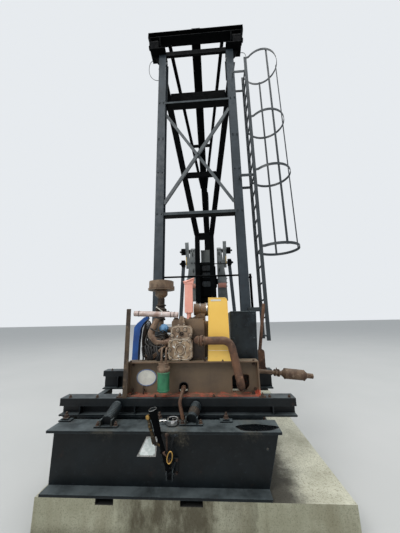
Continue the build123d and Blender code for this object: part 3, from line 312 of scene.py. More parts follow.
def make_materials():
    """Makes every finish."""
    concrete()
    worn_paint("base_black", (7, 11, 14), (15, 21, 24), (70, 80, 84), 0.42, streaks=0.16, dust=0.42,
               shine=0.3, dust_color=COOL_DUST, under=0.6)
    worn_paint("tower_grey", (36, 45, 51), (49, 58, 65), (80, 88, 92), 0.5, 3.5, dust=0.2, rust=0.1,
               shine=0.4, under=0.8)
    worn_paint("brace_grey", (64, 70, 74), (82, 88, 90), (116, 118, 116), 0.5, 4, dust=0.2,
               rust=0.1, under=0.7)
    # Darker than black paint itself: painted shade on the parts seen black against the sky; under adds
    # painted shade on their undersides.
    worn_paint("black_paint_and_shade", (3, 4, 5), (6, 8, 10), (26, 32, 36), 0.8, streaks=0.05, dust=0.06, rust=0.03,
               shine=0.06, under=0.9, dust_color=COOL_DUST, edge_wear=0.25)
    worn_paint("rear_black", (4, 9, 12), (13, 21, 25), (66, 78, 84), 0.42, streaks=0.22, dust=0.5,
               shine=0.28, dust_color=COOL_DUST, under=0.6, grime=BEAM_GRIME)
    rusty("post_brown", (84, 70, 54), (54, 44, 36), (122, 104, 84), 0.7)
    # Pale paint with chips for the cover rims and relief: worn edges, and painted highlight along them.
    worn_paint("cover_wear_and_highlight", (204, 192, 170), (140, 120, 98), (226, 222, 212), 0.42, 30, dust=0, rust=0.4,
               chips=1, chip_color=(232, 232, 226), streaks=0.5)
    worn_paint("hanging_grey", (34, 42, 48), (48, 56, 62), (84, 92, 96), 0.5, 4, dust=0.2, rust=0.1,
               shine=0.35, above=(3.14, 3.17, (4, 5, 6), (8, 10, 12)))
    worn_paint("bar_grey", (60, 66, 69), (78, 84, 87), (108, 112, 112), 0.6, 4, dust=0.2, rust=0.1,
               shine=0.1, under=1, above=(7.4, 7.5, (3, 4, 5), (6, 8, 10)))
    rusty("rust_dark", (60, 49, 41), (32, 27, 24), (104, 84, 66), 0.75)
    # Paler yellow for the guard's crease: painted highlight along the fold.
    worn_paint("yellow_crease_highlight", (255, 238, 190), (244, 206, 130), (255, 250, 232), 0.4, 20, dust=0, rust=0.1)
    metal("wet_black", (4, 6, 8), 0.16, 0, (12, 15, 17))
    # Near-white face for the bare steel plate: painted reflection of the sky.
    worn_paint("bare_plate_sheen", (250, 254, 252), (214, 224, 220), (150, 160, 156), 0.25, 30,
               dust=0, rust=0.05)
    worn_paint("white_plate", (226, 224, 214), (204, 202, 192), (150, 148, 140), 0.45, 12,
               dust=0.1, rust=0.1)
    worn_paint("cap_blue", (120, 172, 214), (92, 148, 196), (180, 204, 222), 0.42, 20, dust=0.2, rust=0.1)
    worn_paint("cage_grey", (36, 43, 47), (50, 57, 61), (96, 98, 96), 0.5, 6, dust=0.2, rust=0.15,
               edge_radius=0.002)
    worn_paint("reducer_grey", (88, 94, 94), (108, 112, 110), (140, 140, 134), 0.55, 4, rust=0.2)
    worn_paint("plate_grey", (136, 141, 142), (112, 117, 119), (165, 166, 162), 0.5, 5, dust=0.3, rust=0.2)
    skid_brown()
    # Darker low down and lighter on top: painted shade and painted light on the engine's tan parts.
    worn_paint("engine_tan_and_shade", (66, 53, 42), (46, 37, 30), (168, 150, 126), 0.5, 9, dust=0.35, rust=0.45,
               streaks=0.35, grain=0.5, above=(1.3, 1.6, (126, 105, 83), (88, 70, 54)))
    worn_paint("cover_tan", (166, 142, 114), (118, 96, 74), (222, 214, 198), 0.42, 20, dust=0.1, rust=0.5,
               chips=1, chip_color=(222, 222, 216), grain=0.5, streaks=0.4,
               above=(1.38, 1.386, (150, 126, 102), (100, 80, 62)))
    rusty("rust_brown", (114, 82, 62), (72, 52, 42), (170, 132, 102))
    rusty("rust_grey", (122, 100, 80), (78, 58, 46), (166, 146, 124))
    rusty("pipe_tan", (138, 114, 94), (98, 74, 58), (204, 186, 162), 0.36, 0.35)
    worn_paint("pale_pipe", (206, 190, 184), (150, 122, 110), (236, 234, 232), 0.34, 9, dust=0.1, rust=0.5,
               streaks=0.5, chips=0.8, chip_color=(210, 210, 208))
    worn_paint("yellow", (252, 210, 108), (246, 198, 92), (250, 228, 160), 0.42, 2, dust=0.15, rust=0.08,
               streaks=0.12, edge_wear=0.35)
    # Strong light-and-dark mottle on the black sheet: painted reflection of the sky, with dust and run
    # marks.
    worn_paint("guard_black_and_sheen", (2, 5, 8), (34, 43, 48), (84, 98, 104), 0.34, 5, dust=0.5, rust=0.06,
               streaks=0.45, shine=0.35, dust_color=COOL_DUST)
    worn_paint("blue", (28, 86, 160), (22, 64, 128), (110, 150, 196), 0.38, 4, dust=0.25, rust=0.12)
    worn_paint("green", (50, 122, 84), (36, 98, 68), (110, 168, 132), 0.4, 12, dust=0.1, rust=0.12,
               streaks=0.4, above=(1.094, 1.1, (128, 104, 84), (92, 68, 54)))
    worn_paint("salmon", (244, 180, 164), (236, 160, 144), (250, 216, 206), 0.5, 5, dust=0.1, rust=0.15,
               streaks=0.3)
    metal("steel", (176, 176, 174))
    metal("chrome", (214, 214, 214), 0.12, amount=0.15)
    metal("brass", (188, 150, 84), 0.35, amount=0.6)
    rusty("brass_dark", (66, 52, 28), (22, 19, 14), (178, 138, 66), 0.35, 0.5, 16)
    rusty("bolt_rust", (86, 66, 54), (52, 40, 36), (128, 104, 86), 0.65, 0.4, 30)
    rubber()


LOOKS = {
    "concrete": ["foundation_slab"],
    "base_black": ["left_skid_beam", "right_skid_beam", "sill_beams", "platform_beam",
                   "rear_engine_cross_beam", "front_engine_cross_beam", "brace_pipes", "lever_bracket"],
    "tower_grey": ["left_rear_leg", "right_rear_leg"],
    "brace_grey": ["rising_brace", "falling_brace"],
    "hanging_grey": ["left_pitman", "right_pitman"],
    "bar_grey": ["tower_cross_bars"],
    "rust_dark": ["engine_accessories"],
    "rear_black": ["rear_cross_beam"],
    "post_brown": ["left_upright_post"],
    "black_paint_and_shade": ["left_front_leg", "right_front_leg", "lower_legs", "front_leg_ties",
                   "beam_bearings", "tail_cross_beam", "walking_beam", "beam_struts", "horse_head",
                   "reducer_pedestal", "reducer_housing", "guard_rails", "crank_shaft"],
    "cage_grey": ["ladder", "ladder_brackets", "cage_hoops", "cage_bars", "grease_lines"],
    "reducer_grey": ["reducer_top_box"],
    "plate_grey": ["left_crank", "right_crank"],
    "skid_brown": ["engine_skid_rear_beam", "engine_skid_rails", "engine_skid_floor"],
    "engine_tan_and_shade": ["engine_block", "air_cleaner", "fan_guard"],
    "cover_tan": ["engine_end_covers"],
    "rust_brown": ["exhaust_pipe", "control_rod", "drain_pipe"],
    "rust_grey": ["muffler"],
    "pipe_tan": ["engine_pipes"],
    "yellow": ["clutch_guard"],
    "guard_black_and_sheen": ["belt_guard"],
    "blue": ["fan_shroud"],
    "green": ["oil_filter"],
    "salmon": ["coolant_tank"],
    "chrome": ["gauge"],
    "brass": ["brake_lever"],
}


def dress_nodes():
    """Gives each carried-over node its finish."""
    for material, names in LOOKS.items():
        for name in names:
            data = nodes[name].data
            data.materials.clear()
            data.materials.append(MATERIALS[material])


# Pieces

BACK = (0, -1, 0)
UP = (0, 0, 1)
RIGHT = (1, 0, 0)

# Faces that meet at more than this stay crisp.
CREASE = radians(38)


def turns(count, start=0):
    """Angles that share one full turn."""
    return [2 * pi * i / count + start for i in range(count)]


def grid(*rows):
    """Every point with one coordinate out of each row."""
    return product(*[row if isinstance(row, tuple) else (row,) for row in rows])


def wheel(centre, wide, tall, count, start=0):
    """Points round an ellipse that faces along X."""
    x, y, h = centre
    return [(x, y + wide * cos(a), h + tall * sin(a)) for a in turns(count, start)]


def oval(centre, wide, tall, count):
    """Points round an ellipse that faces along Y."""
    x, y, h = centre
    return [(x + wide * cos(a), y, h + tall * sin(a)) for a in turns(count)]


def rounded(centre, wide, tall, count):
    """Points round a rectangle with soft corners that faces along Y."""
    x, y, h = centre
    points = []
    for a in turns(count):
        far = (abs(cos(a)) ** 5 + abs(sin(a)) ** 5) ** -0.2
        points.append((x + wide * far * cos(a), y, h + tall * far * sin(a)))
    return points


class Piece:
    """Collects plain solids into one mesh, given as x, y and height above the plinth's top."""

    def __init__(self, name):
        self.name = name
        self.mesh = bmesh.new()
        self.turn = Matrix.Identity(4)

    def vertex(self, point):
        return self.mesh.verts.new(self.turn @ Vector(point) + Vector((0, 0, PLINTH)))

    def loft(self, rings, closed=True):
        """Skin over rings of equal length, with a cap on each end."""
        rows = [[self.vertex(point) for point in ring] for ring in rings]
        count = len(rows[0])
        for low, high in zip(rows, rows[1:]):
            for i in range(count):
                j = (i + 1) % count
                self.mesh.faces.new((low[i], low[j], high[j], high[i]))
        if closed:
            self.mesh.faces.new(rows[0][::-1])
            self.mesh.faces.new(rows[-1])

    def prism(self, outline, along):
        along = Vector(along)
        self.loft([outline, [Vector(point) + along for point in outline]])

    def box(self, x0, x1, y0, y1, h0, h1):
        self.prism([(x0, y0, h0), (x1, y0, h0), (x1, y1, h0), (x0, y1, h0)], (0, 0, h1 - h0))

    def circle(self, centre, axis, radius, sides):
        axis = Vector(axis).normalized()
        first = axis.orthogonal().normalized()
        if abs(axis.z) < 0.9:
            first = axis.cross(Vector((0, 0, 1))).normalized()
        second = axis.cross(first)
        return [Vector(centre) + radius * (cos(a) * first + sin(a) * second) for a in turns(sides)]

    def turned(self, start, axis, profile, sides=20):
        """Solid of revolution: profile lists (distance along the axis, radius)."""
        axis = Vector(axis).normalized()
        self.loft([self.circle(Vector(start) + axis * far, axis, radius, sides) for far, radius in profile])

    def rod(self, start, end, radius, sides=14):
        far = (Vector(end) - Vector(start)).length
        soft = min(radius * 0.25, far * 0.2)
        profile = [(0, radius - soft), (soft, radius), (far - soft, radius), (far, radius - soft)]
        self.turned(start, Vector(end) - Vector(start), profile, sides)

    def ring(self, centre, axis, radius, thick, sides=36):
        """Round wire bent into a ring."""
        axis = Vector(axis).normalized()
        rows = []
        for point in self.circle(centre, axis, radius, sides):
            out = (point - Vector(centre)).normalized()
            rows.append([self.vertex(point + thick * (cos(t) * out + sin(t) * axis)) for t in turns(8)])
        for i in range(sides):
            low, high = rows[i], rows[(i + 1) % sides]
            for k in range(8):
                m = (k + 1) % 8
                self.mesh.faces.new((low[k], low[m], high[m], high[k]))

    def tube(self, points, radius, sides=10, steps=6):
        """Hose or bent pipe on a smooth line through the points."""
        points = [Vector(point) for point in points]
        line = []
        for i in range(len(points) - 1):
            a, b = points[max(i - 1, 0)], points[i]
            c, d = points[i + 1], points[min(i + 2, len(points) - 1)]
            for k in range(steps):
                t = k / steps
                line.append(0.5 * (2 * b + (c - a) * t + (2 * a - 5 * b + 4 * c - d) * t * t
                                   + (3 * b - a - 3 * c + d) * t ** 3))
        line.append(points[-1])
        side = (line[1] - line[0]).orthogonal().normalized()
        rings = []
        for i, point in enumerate(line):
            ahead = (line[min(i + 1, len(line) - 1)] - line[max(i - 1, 0)]).normalized()
            side = (side - ahead * side.dot(ahead)).normalized()
            over = ahead.cross(side)
            rings.append([point + radius * (cos(t) * side + sin(t) * over) for t in turns(sides)])
        self.loft(rings)

    def bolt(self, place, axis, size=0.012, washer=True, stud=0):
        """Hexagon head on a washer; size is half its width across the corners."""
        axis = Vector(axis).normalized()
        place = Vector(place)
        base = 0
        if washer:
            base = size * 0.25
            self.turned(place, axis, [(0, size * 1.35), (base, size * 1.3)], 18)
        side = base + size * 1.05
        for far, low, high in ((1, base, side), (0.82, side, base + size * 1.2)):
            self.loft([self.circle(place + axis * low, axis, size, 6),
                       self.circle(place + axis * high, axis, size * far, 6)])
        if stud:
            self.rod(place + axis * base, place + axis * (base + size * 1.2 + stud), size * 0.5, 10)

    def bolts(self, places, axis, size, **more):
        for place in places:
            self.bolt(place, axis, size, **more)

    def weld(self, start, end, size):
        """Bead of weld metal with a gentle ripple."""
        start, end = Vector(start), Vector(end)
        far = (end - start).length
        count = max(int(far / (size * 1.2)), 2)
        profile = [(far * i / count, size * (0.85 + 0.25 * (i % 2))) for i in range(count + 1)]
        self.turned(start, end - start, profile, 7)

    def done(self, material, body="base", replaced=(), bevel=0):
        """Makes the mesh one piece of the scene, with its finish, on its body."""
        mesh = self.mesh
        bmesh.ops.recalc_face_normals(mesh, faces=mesh.faces)
        for face in mesh.faces:
            face.smooth = True
        for edge in mesh.edges:
            if len(edge.link_faces) == 2 and edge.calc_face_angle(0) > CREASE:
                edge.smooth = False
        data = bpy.data.meshes.new(self.name)
        mesh.to_mesh(data)
        mesh.free()
        piece = bpy.data.objects.new(self.name, data)
        bpy.context.scene.collection.objects.link(piece)
        data.materials.append(MATERIALS[material])
        if bevel:
            soften = piece.modifiers.new("bevel", "BEVEL")
            soften.width = bevel
            soften.segments = 2
            soften.limit_method = "ANGLE"
        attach(piece, body)
        if replaced:
            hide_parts(*replaced)


# Rear beam and its fittings

BEAM_TOP = 0.457
WEB_BACK = -2.013


def beam_clamps():
    """Hold-down clamps with rusty bolts on the rear beam's top flange."""
    p = Piece("beam_clamps")
    b = Piece("clamp_bolts")
    top = BEAM_TOP + 0.012
    for x in (-1.146, -0.286, 0.304):
        p.box(x - 0.055, x + 0.055, -1.955, -1.892, BEAM_TOP, top)
        p.prism([(x - 0.03, -1.95, top), (x + 0.03, -1.95, top),
                 (x + 0.022, -1.9, top), (x - 0.022, -1.9, top)], (0, 0, 0.014))
        b.bolt((x, -1.925, BEAM_TOP + 0.026), UP, 0.019, stud=0.02)
    p.done("rear_black", bevel=0.002)
    b.done("bolt_rust")


def oil_patch():
    """Wet oil film round the slot in the top flange."""
    p = Piece("oil_patch")
    centre = Vector((0.545, -2.043, BEAM_TOP))
    rings = []
    for lift, share in ((0, 1), (0.0025, 0.97)):
        ring = []
        for a in turns(40):
            far = share * (1 + 0.06 * sin(3 * a + 1) + 0.04 * sin(5 * a))
            ring.append(centre + Vector((0.172 * far * cos(a), 0.062 * far * sin(a), lift)))
        rings.append(ring)
    p.loft(rings)
    p.done("wet_black")


def bare_plate():
    """Bent bare plate on the rear beam's web, with a rivet in each corner, and a near-white face over it
    that is a painted reflection of the sky.
    """
    p = Piece("bare_plate")
    y = WEB_BACK
    p.prism([(-0.452, y, 0.229), (-0.291, y, 0.229), (-0.277, y, 0.376), (-0.372, y, 0.376)],
            (0, -0.003, 0))
    for x, h in ((-0.432, 0.245), (-0.305, 0.243), (-0.29, 0.362), (-0.362, 0.362)):
        p.rod((x, y - 0.002, h), (x, y - 0.006, h), 0.006)
    p.done("steel", bevel=0.001)
    # Near-white face over the bare plate: painted reflection of the sky on the steel.
    face = Piece("bare_plate_face")
    y -= 0.003
    face.prism([(-0.436, y, 0.24), (-0.3, y, 0.24), (-0.29, y, 0.368), (-0.366, y, 0.368)], (0, -0.0008, 0))
    face.done("bare_plate_sheen")


def gauge_dial():
    """Bezel, dark dial and pointer of the gauge, and its white inlet."""
    x, y, top = -0.155, -1.995, BEAM_TOP + 0.044
    bezel = Piece("gauge_bezel")
    bezel.ring((x, y, top), UP, 0.051, 0.006, 48)
    bezel.rod((x, y, top), (x, y, top + 0.004), 0.005)
    bezel.done("chrome")
    dial = Piece("gauge_dial")
    dial.turned((x, y, top), UP, [(0, 0.049), (0.0015, 0.049)], 40)
    dial.done("wet_black")
    marks = Piece("gauge_marks")
    for i in range(13):
        a = radians(-30 + 20 * i)
        direction = Vector((cos(a), sin(a), 0))
        middle = Vector((x, y, top + 0.0015)) + direction * 0.041
        across = Vector((-sin(a), cos(a), 0)) * 0.0012
        far = direction * 0.005
        marks.prism([middle - far - across, middle + far - across, middle + far + across,
                     middle - far + across], (0, 0, 0.0006))
    marks.prism([(x - 0.002, y - 0.01, top + 0.0015), (x + 0.002, y - 0.01, top + 0.0015),
                 (x + 0.03, y + 0.027, top + 0.0015)], (0, 0, 0.0008))
    marks.done("white_plate")
    fitting = Piece("gauge_fitting")
    middle = BEAM_TOP + 0.028
    fitting.bolt((x - 0.08, y, middle), RIGHT, 0.013, washer=False)
    fitting.rod((x - 0.115, y, middle), (x - 0.045, y, middle), 0.0085)
    fitting.done("white_plate")


def brake_lever_pieces():
    """Lever with a grip, its catch rod with a brass knob, and the brown link."""
    pivot = Vector((-0.15, -2.128, 0.17))
    arm = Piece("lever_arm")
    arm.rod(pivot - Vector((0.02, 0, 0)), pivot + Vector((0.02, 0, 0)), 0.03, 24)
    arm.tube([pivot + Vector((0, 0, -0.012)), (-0.192, -2.148, 0.31), (-0.24, -2.168, 0.465)], 0.018)
    for h in (0.215, 0.27, 0.33):
        share = (h - 0.17) / 0.295
        middle = Vector((-0.15 - 0.09 * share, -2.135 - 0.035 * share, h))
        arm.rod(middle - Vector((0.022, 0, 0)), middle + Vector((0.022, 0, 0)), 0.011)
    arm.done("black_paint_and_shade", "brake_lever", replaced=["brake_lever"])
    grip = Piece("lever_grip")
    low, high = Vector((-0.236, -2.165, 0.448)), Vector((-0.284, -2.184, 0.645))
    far = (high - low).length
    profile = [(0, 0.018), (0.006, 0.025), (far * 0.5, 0.027), (far - 0.022, 0.033), (far - 0.008, 0.031),
               (far, 0.018)]
    grip.turned(low, high - low, profile, 28)
    grip.done("black_paint_and_shade", "brake_lever")
    rim = Piece("grip_rim")
    rim.ring(high - (high - low).normalized() * 0.006, high - low, 0.0305, 0.0022, 32)
    rim.done("steel", "brake_lever")
    knob = Piece("lever_rod")
    top = Vector((-0.32, -2.195, 0.598))
    foot = Vector((-0.262, -2.184, 0.4))
    profile = [(0, 0.008), (0.004, 0.016), (0.055, 0.017), (0.058, 0.012), (0.1, 0.011), (0.103, 0.016),
               (0.15, 0.015), (0.154, 0.011), (0.184, 0.011)]
    knob.turned(foot, top - foot, profile, 24)
    knob.rod(foot, (-0.222, -2.16, 0.385), 0.012)
    knob.done("brass_dark", "brake_lever")
    tip = Piece("lever_knob")
    profile = [(0, 0.011), (0.006, 0.017), (0.018, 0.02), (0.03, 0.015), (0.034, 0.005)]
    tip.turned(top - (top - foot).normalized() * 0.028, top - foot, profile, 24)
    tip.done("brass", "brake_lever")
    link = Piece("lever_link")
    link.rod((-0.165, -2.134, 0.255), (-0.197, -2.162, 0.34), 0.011)
    link.rod((-0.15, -2.14, 0.262), (-0.18, -2.14, 0.262), 0.013)
    link.done("rust_brown", "brake_lever")
    loop = Piece("lever_loop")
    line = [(-0.148 + 0.02 * cos(a) + 0.006 * sin(a), -2.156, 0.296 + 0.04 * sin(a)) for a in turns(32)]
    loop.tube(line + line[:1], 0.0055, 10, 1)
    loop.done("brass", "brake_lever")
    stay = Piece("lever_stay")
    stay.tube([(-0.118, -2.108, 0.442), (-0.14, -2.112, 0.375), (-0.168, -2.108, 0.3)], 0.012, 10)
    stay.box(-0.15, -0.092, -2.116, -2.104, 0.42, 0.4375)
    stay.bolt((-0.11, -2.116, 0.43), BACK, 0.01)
    stay.done("base_black")
    rod = Piece("threaded_rod")
    thread = [(0.004 * i, 0.009 if i % 2 else 0.0075) for i in range(30)]
    rod.turned((-0.185, -2.108, 0.4375), (0.04, 0.01, -1), thread, 12)
    rod.bolt((-0.183, -2.11, 0.436), (0, -1, -0.2), 0.015)
    rod.bolt((-0.262, -2.06, BEAM_TOP), UP, 0.014, stud=0.014)
    rod.done("bolt_rust")


def bracket_bolts():
    p = Piece("bracket_bolts")
    p.bolts(grid((-0.187, -0.113), WEB_BACK - 0.012, (0.125, 0.215)), BACK, 0.009)
    p.done("bolt_rust")


def brace_fittings():
    """Bolts in the brace pipes' foot plates and weld rings round the pipes."""
    p = Piece("brace_bolts")
    for x, y in ((-0.712, -2.045), (0.008, -1.998)):
        p.bolts(grid((x - 0.078, x + 0.078), y, BEAM_TOP + 0.012), UP, 0.014, stud=0.01)
    p.done("bolt_rust")
    ribs = Piece("brace_ribs")
    worn = Piece("worn_ribs")
    for x, y, lean in ((-0.712, -2.045, 0), (0.008, -1.998, 0.03)):
        start = Vector((x, y + 0.005, BEAM_TOP + 0.042))
        end = Vector((x + lean, -1.832, BEAM_TOP + 0.096))
        axis = (end - start).normalized()
        for i in range(11):
            piece = worn if x > 0 and 1 < i < 7 else ribs
            piece.ring(start + (end - start) * (0.04 + 0.085 * i), axis, 0.0435, 0.006, 28)
        for dx in (-0.048, 0.048):
            ribs.box(x + dx - 0.006, x + dx + 0.006, y - 0.026, y + 0.03, BEAM_TOP + 0.012, BEAM_TOP + 0.06)
    ribs.done("rear_black")
    worn.done("rust_dark")


# Cross beams and engine skid

def cross_beam_fittings():
    """Clips and bolts that hold the engine cross beams and the engine skid."""
    p = Piece("cross_beam_bolts")
    p.bolts(grid((-1.2, -0.93, -0.36, 0.2, 0.72, 0.9), -1.8, 0.611), UP, 0.012, stud=0.008)
    p.bolts(grid((-0.6, 0.585), (-1.74, -1.67), 0.621), UP, 0.013, stud=0.012)
    p.bolts(grid((-1.18, -0.7, 0.7, 0.88), -0.915, 0.682), UP, 0.012, stud=0.008)
    p.done("bolt_rust")
    clips = Piece("skid_clips")
    for x in (-0.705, 0.655):
        clips.box(x - 0.03, x + 0.03, -1.822, -1.79, 0.611, 0.625)
        clips.bolt((x, -1.806, 0.625), UP, 0.013, stud=0.01)
    clips.done("bolt_rust", bevel=0.002)


def skid_plates():
    """Bare oval plate, stud, bolts and the hose slot's rim on the engine skid's rear beam."""
    web = -1.71
    plate = Piece("bare_oval")
    plate.loft([oval((-0.474, web - lift, 0.767), 0.104 * share, 0.08 * share, 40)
                for lift, share in ((0, 1), (0.003, 1), (0.0045, 0.9))])
    plate.done("white_plate")
    band = Piece("oval_rim")
    line = oval((-0.474, web - 0.003, 0.767), 0.098, 0.075, 40)
    band.tube(line + line[:1], 0.004, 8, 1)
    band.done("blue")
    p = Piece("skid_bolts")
    p.rod((-0.495, web, 0.655), (-0.495, web - 0.045, 0.655), 0.009)
    p.rod((-0.495, web - 0.03, 0.62), (-0.495, web - 0.03, 0.69), 0.008)
    p.bolts(grid((-0.625, 0.125, 0.3, 0.6), -1.765, 0.924), UP, 0.01)
    p.bolts(grid((-0.615, 0.608), web, (0.885, 0.66)), BACK, 0.011)
    p.done("bolt_rust")
    rim = Piece("hose_slot_rim")
    line = []
    for a in turns(28):
        half = 0.008 if sin(a) > 0 else -0.008
        line.append((-0.096 + 0.044 * cos(a), web - 0.003, 0.672 + half + 0.044 * sin(a)))
    rim.tube(line + line[:1], 0.004, 8, 2)
    rim.done("rubber")


# Engine

COVER_BACK = -1.74
HIGH_COVER_BACK = -1.73


def cover_bolts():
    p = Piece("cover_bolts")
    seats = Piece("cover_bolt_seats")
    high = ((-0.153, 1.226), (-0.077, 1.228), (-0.022, 1.172), (-0.212, 1.172))
    low = ((-0.226, 0.953), (-0.03, 0.953), (-0.226, 1.117), (-0.03, 1.117), (-0.128, 1.127),
           (-0.128, 0.943), (-0.238, 1.035), (-0.018, 1.035))
    places = [(x, HIGH_COVER_BACK, h, 0.014) for x, h in high] + [(x, COVER_BACK, h, 0.012) for x, h in low]
    places += [(x, -1.715, 1.277, 0.009) for x in (-0.148, -0.092)]
    for x, y, h, size in places:
        seats.turned((x, y, h), BACK, [(0, size * 1.75), (0.0015, size * 1.7)], 20)
        p.bolt((x, y - 0.001, h), BACK, size)
    # Dark rings beside the low cover's ring relief: painted shade in its grooves.
    seats.ring((-0.128, COVER_BACK - 0.001, 1.035), BACK, 0.0545, 0.0028, 44)
    seats.ring((-0.128, COVER_BACK - 0.001, 1.035), BACK, 0.0385, 0.0028, 36)
    seats.ring((-0.114, HIGH_COVER_BACK - 0.001, 1.186), BACK, 0.0215, 0.003, 28)
    p.done("cover_tan")
    seats.done("rust_dark")
    seam = Piece("cover_gaskets")
    for x, h, wide, tall, y in ((-0.128, 1.035, 0.1265, 0.109, -1.662),
                                (-0.116, 1.2, 0.1145, 0.0715, -1.672)):
        seam.prism(rounded((x, y, h), wide, tall, 48), (0, 0.004, 0))
    seam.done("rubber")
    # Pale rims round the covers: painted edge highlight, with worn paint and chips.
    rims = Piece("cover_rims")
    for x, h, wide, tall, y, size in ((-0.128, 1.035, 0.1135, 0.0955, COVER_BACK, 0.0042),
                                      (-0.116, 1.2, 0.1015, 0.0585, HIGH_COVER_BACK, 0.0032)):
        line = rounded((x, y - 0.0005, h), wide, tall, 48)
        rims.tube(line + line[:1], size, 8, 1)
    rims.done("cover_wear_and_highlight")
    # Pale raised lines on the low cover: painted highlight on the relief.
    relief = Piece("cover_relief")
    for a, b in (((-0.185, 0.975), (-0.175, 1.095)), ((-0.071, 0.975), (-0.081, 1.095))):
        relief.tube([(a[0], COVER_BACK, a[1]), (b[0], COVER_BACK, b[1])], 0.004, 8, 1)
    for reach, end, middle in ((0.032, 1.115, 1.098), (0.042, 0.958, 0.972)):
        line = [(-0.128 - reach, end), (-0.128, middle), (-0.128 + reach, end)]
        relief.tube([(x, COVER_BACK, h) for x, h in line], 0.004, 8, 3)
    relief.done("cover_wear_and_highlight")


def ball_cap():
    """Light blue filler cap on a bent neck at the engine's left side."""
    neck = Piece("filler_neck")
    neck.tube([(-0.235, -1.55, 1.15), (-0.3, -1.55, 1.16), (-0.34, -1.55, 1.205)], 0.02)
    neck.done("engine_tan_and_shade")
    cap = Piece("ball_cap")
    cap.turned((-0.34, -1.55, 1.198), UP, [(0, 0.022), (0.006, 0.036), (0.022, 0.047), (0.045, 0.05),
                                          (0.068, 0.043), (0.084, 0.028), (0.092, 0.01)], 28)
    middle = Vector((-0.34, -1.55, 1.228))
    for a in turns(10):
        out = Vector((cos(a), sin(a), 0))
        cap.rod(middle + 0.049 * out, middle + 0.047 * out + Vector((0, 0, 0.03)), 0.006)
    cap.done("cap_blue")


def breather_sleeve():
    """Pale peeling wrap on the breather pipe, with two clamps."""
    p = Piece("breather_sleeve")
    start, end = Vector((-0.65, -1.64, 1.408)), Vector((-0.168, -1.64, 1.385))
    far = (end - start).length
    p.turned(start, end - start, [(0, 0.0283), (0.004, 0.0295), (far, 0.0295)], 28)
    p.done("pale_pipe")
    c = Piece("breather_clamps")
    for share in (0.1, 0.84, 0.92):
        c.ring(start + (end - start) * share, end - start, 0.0295, 0.0035, 30)
    c.rod((-0.64, -1.64, 1.4075), (-0.6505, -1.64, 1.408), 0.021)
    c.done("rust_dark")


def engine_hoses():
    """Hoses and wires at the engine's left side, clipped at both ends."""
    p = Piece("engine_hoses")
    for k in range(14):
        wave = 0.035 * sin(2.3 * k)
        p.tube([(-0.245, -1.62 + 0.012 * k, 0.9 + 0.014 * k),
                (-0.31, -1.665 - wave * 0.4, 0.88 + 0.026 * k + wave),
                (-0.39 + wave, -1.655, 0.86 + 0.028 * k),
                (-0.47, -1.62 + wave * 0.5, 0.9 + 0.024 * k - wave),
                (-0.555, -1.5 + 0.01 * k, 0.93 + 0.024 * k)], 0.006 + 0.0016 * (k % 4))
    routes = (
        ((-0.245, -1.6, 1.09), (-0.33, -1.66, 1.05), (-0.42, -1.66, 0.98), (-0.5, -1.6, 1.02),
         (-0.555, -1.45, 1.06)),
        ((-0.245, -1.63, 1.05), (-0.3, -1.7, 0.98), (-0.4, -1.7, 0.9), (-0.5, -1.62, 0.9),
         (-0.57, -1.45, 0.96)),
        ((-0.245, -1.58, 0.98), (-0.34, -1.63, 0.94), (-0.44, -1.66, 1.03), (-0.53, -1.6, 1.1),
         (-0.56, -1.42, 1.18)),
        ((-0.4, -1.62, 1.1), (-0.38, -1.69, 1.02), (-0.34, -1.71, 0.93), (-0.38, -1.66, 0.83),
         (-0.45, -1.55, 0.8)),
        ((-0.294, -1.72, 1.05), (-0.33, -1.76, 1), (-0.36, -1.72, 0.93), (-0.32, -1.66, 0.88),
         (-0.25, -1.62, 0.88)),
    )
    for points, radius in zip(routes, (0.013, 0.01, 0.008, 0.011, 0.007)):
        p.tube(points, radius)
    for k in range(7):
        x = -0.335 - 0.032 * k
        p.tube([(x, -1.6, 1.16 - 0.02 * k), (x - 0.02, -1.655, 1.05), (x + 0.012 * (k % 3), -1.675, 0.95),
                (x - 0.015, -1.65, 0.86), (x + 0.02, -1.6, 0.81)], 0.009 + 0.002 * (k % 3))
    p.done("rubber")
    wires = Piece("engine_wires")
    for shift in (0, 0.014, 0.03):
        wires.tube([(-0.24, -1.61 - shift, 1.12), (-0.31, -1.67, 1.1 - shift), (-0.36 - shift, -1.69, 1),
                    (-0.45, -1.66, 0.93 + shift), (-0.52, -1.6, 0.97 - shift), (-0.5, -1.55, 0.8)],
                   0.0035, 8)
    wires.done("pipe_tan")


def fan():
    """Wire fan guard with its fan behind it."""
    centre = Vector((-0.592, -1.3, 1.11))
    guard = Piece("fan_wires")
    for i in range(18):
        guard.ring(centre, RIGHT, 0.04 + 0.0102 * i, 0.0026, 40)
    for a in turns(40):
        direction = Vector((0, cos(a), sin(a)))
        guard.rod(centre + direction * 0.04, centre + direction * 0.22, 0.0026, 8)
    guard.ring(centre, RIGHT, 0.219, 0.006, 56)
    for h in (0.8, 0.86):
        guard.rod((-0.592, -1.33, h), (-0.592, -1.27, h), 0.006)
    guard.box(-0.6, -0.585, -1.335, -1.265, 0.8, 0.905)
    guard.done("rust_dark", replaced=["fan_guard"])
    blades = Piece("fan_blades")
    hub = Vector((-0.535, -1.3, 1.11))
    profile = [(0, 0.02), (0.004, 0.05), (0.035, 0.055), (0.045, 0.03), (0.29, 0.028)]
    blades.turned(hub - Vector((0.02, 0, 0)), RIGHT, profile, 24)
    corners = ((0.05, -0.018, -0.012), (0.195, -0.05, -0.02), (0.205, 0.03, 0.016), (0.05, 0.022, 0.012))
    for a in turns(6):
        out, over = Vector((0, cos(a), sin(a))), Vector((0, -sin(a), cos(a)))
        ring = [hub + out * far + over * aside + Vector((along, 0, 0)) for far, aside, along in corners]
        blades.prism(ring, (0.003, 0, 0))
    blades.done("rust_dark", bevel=0.001)


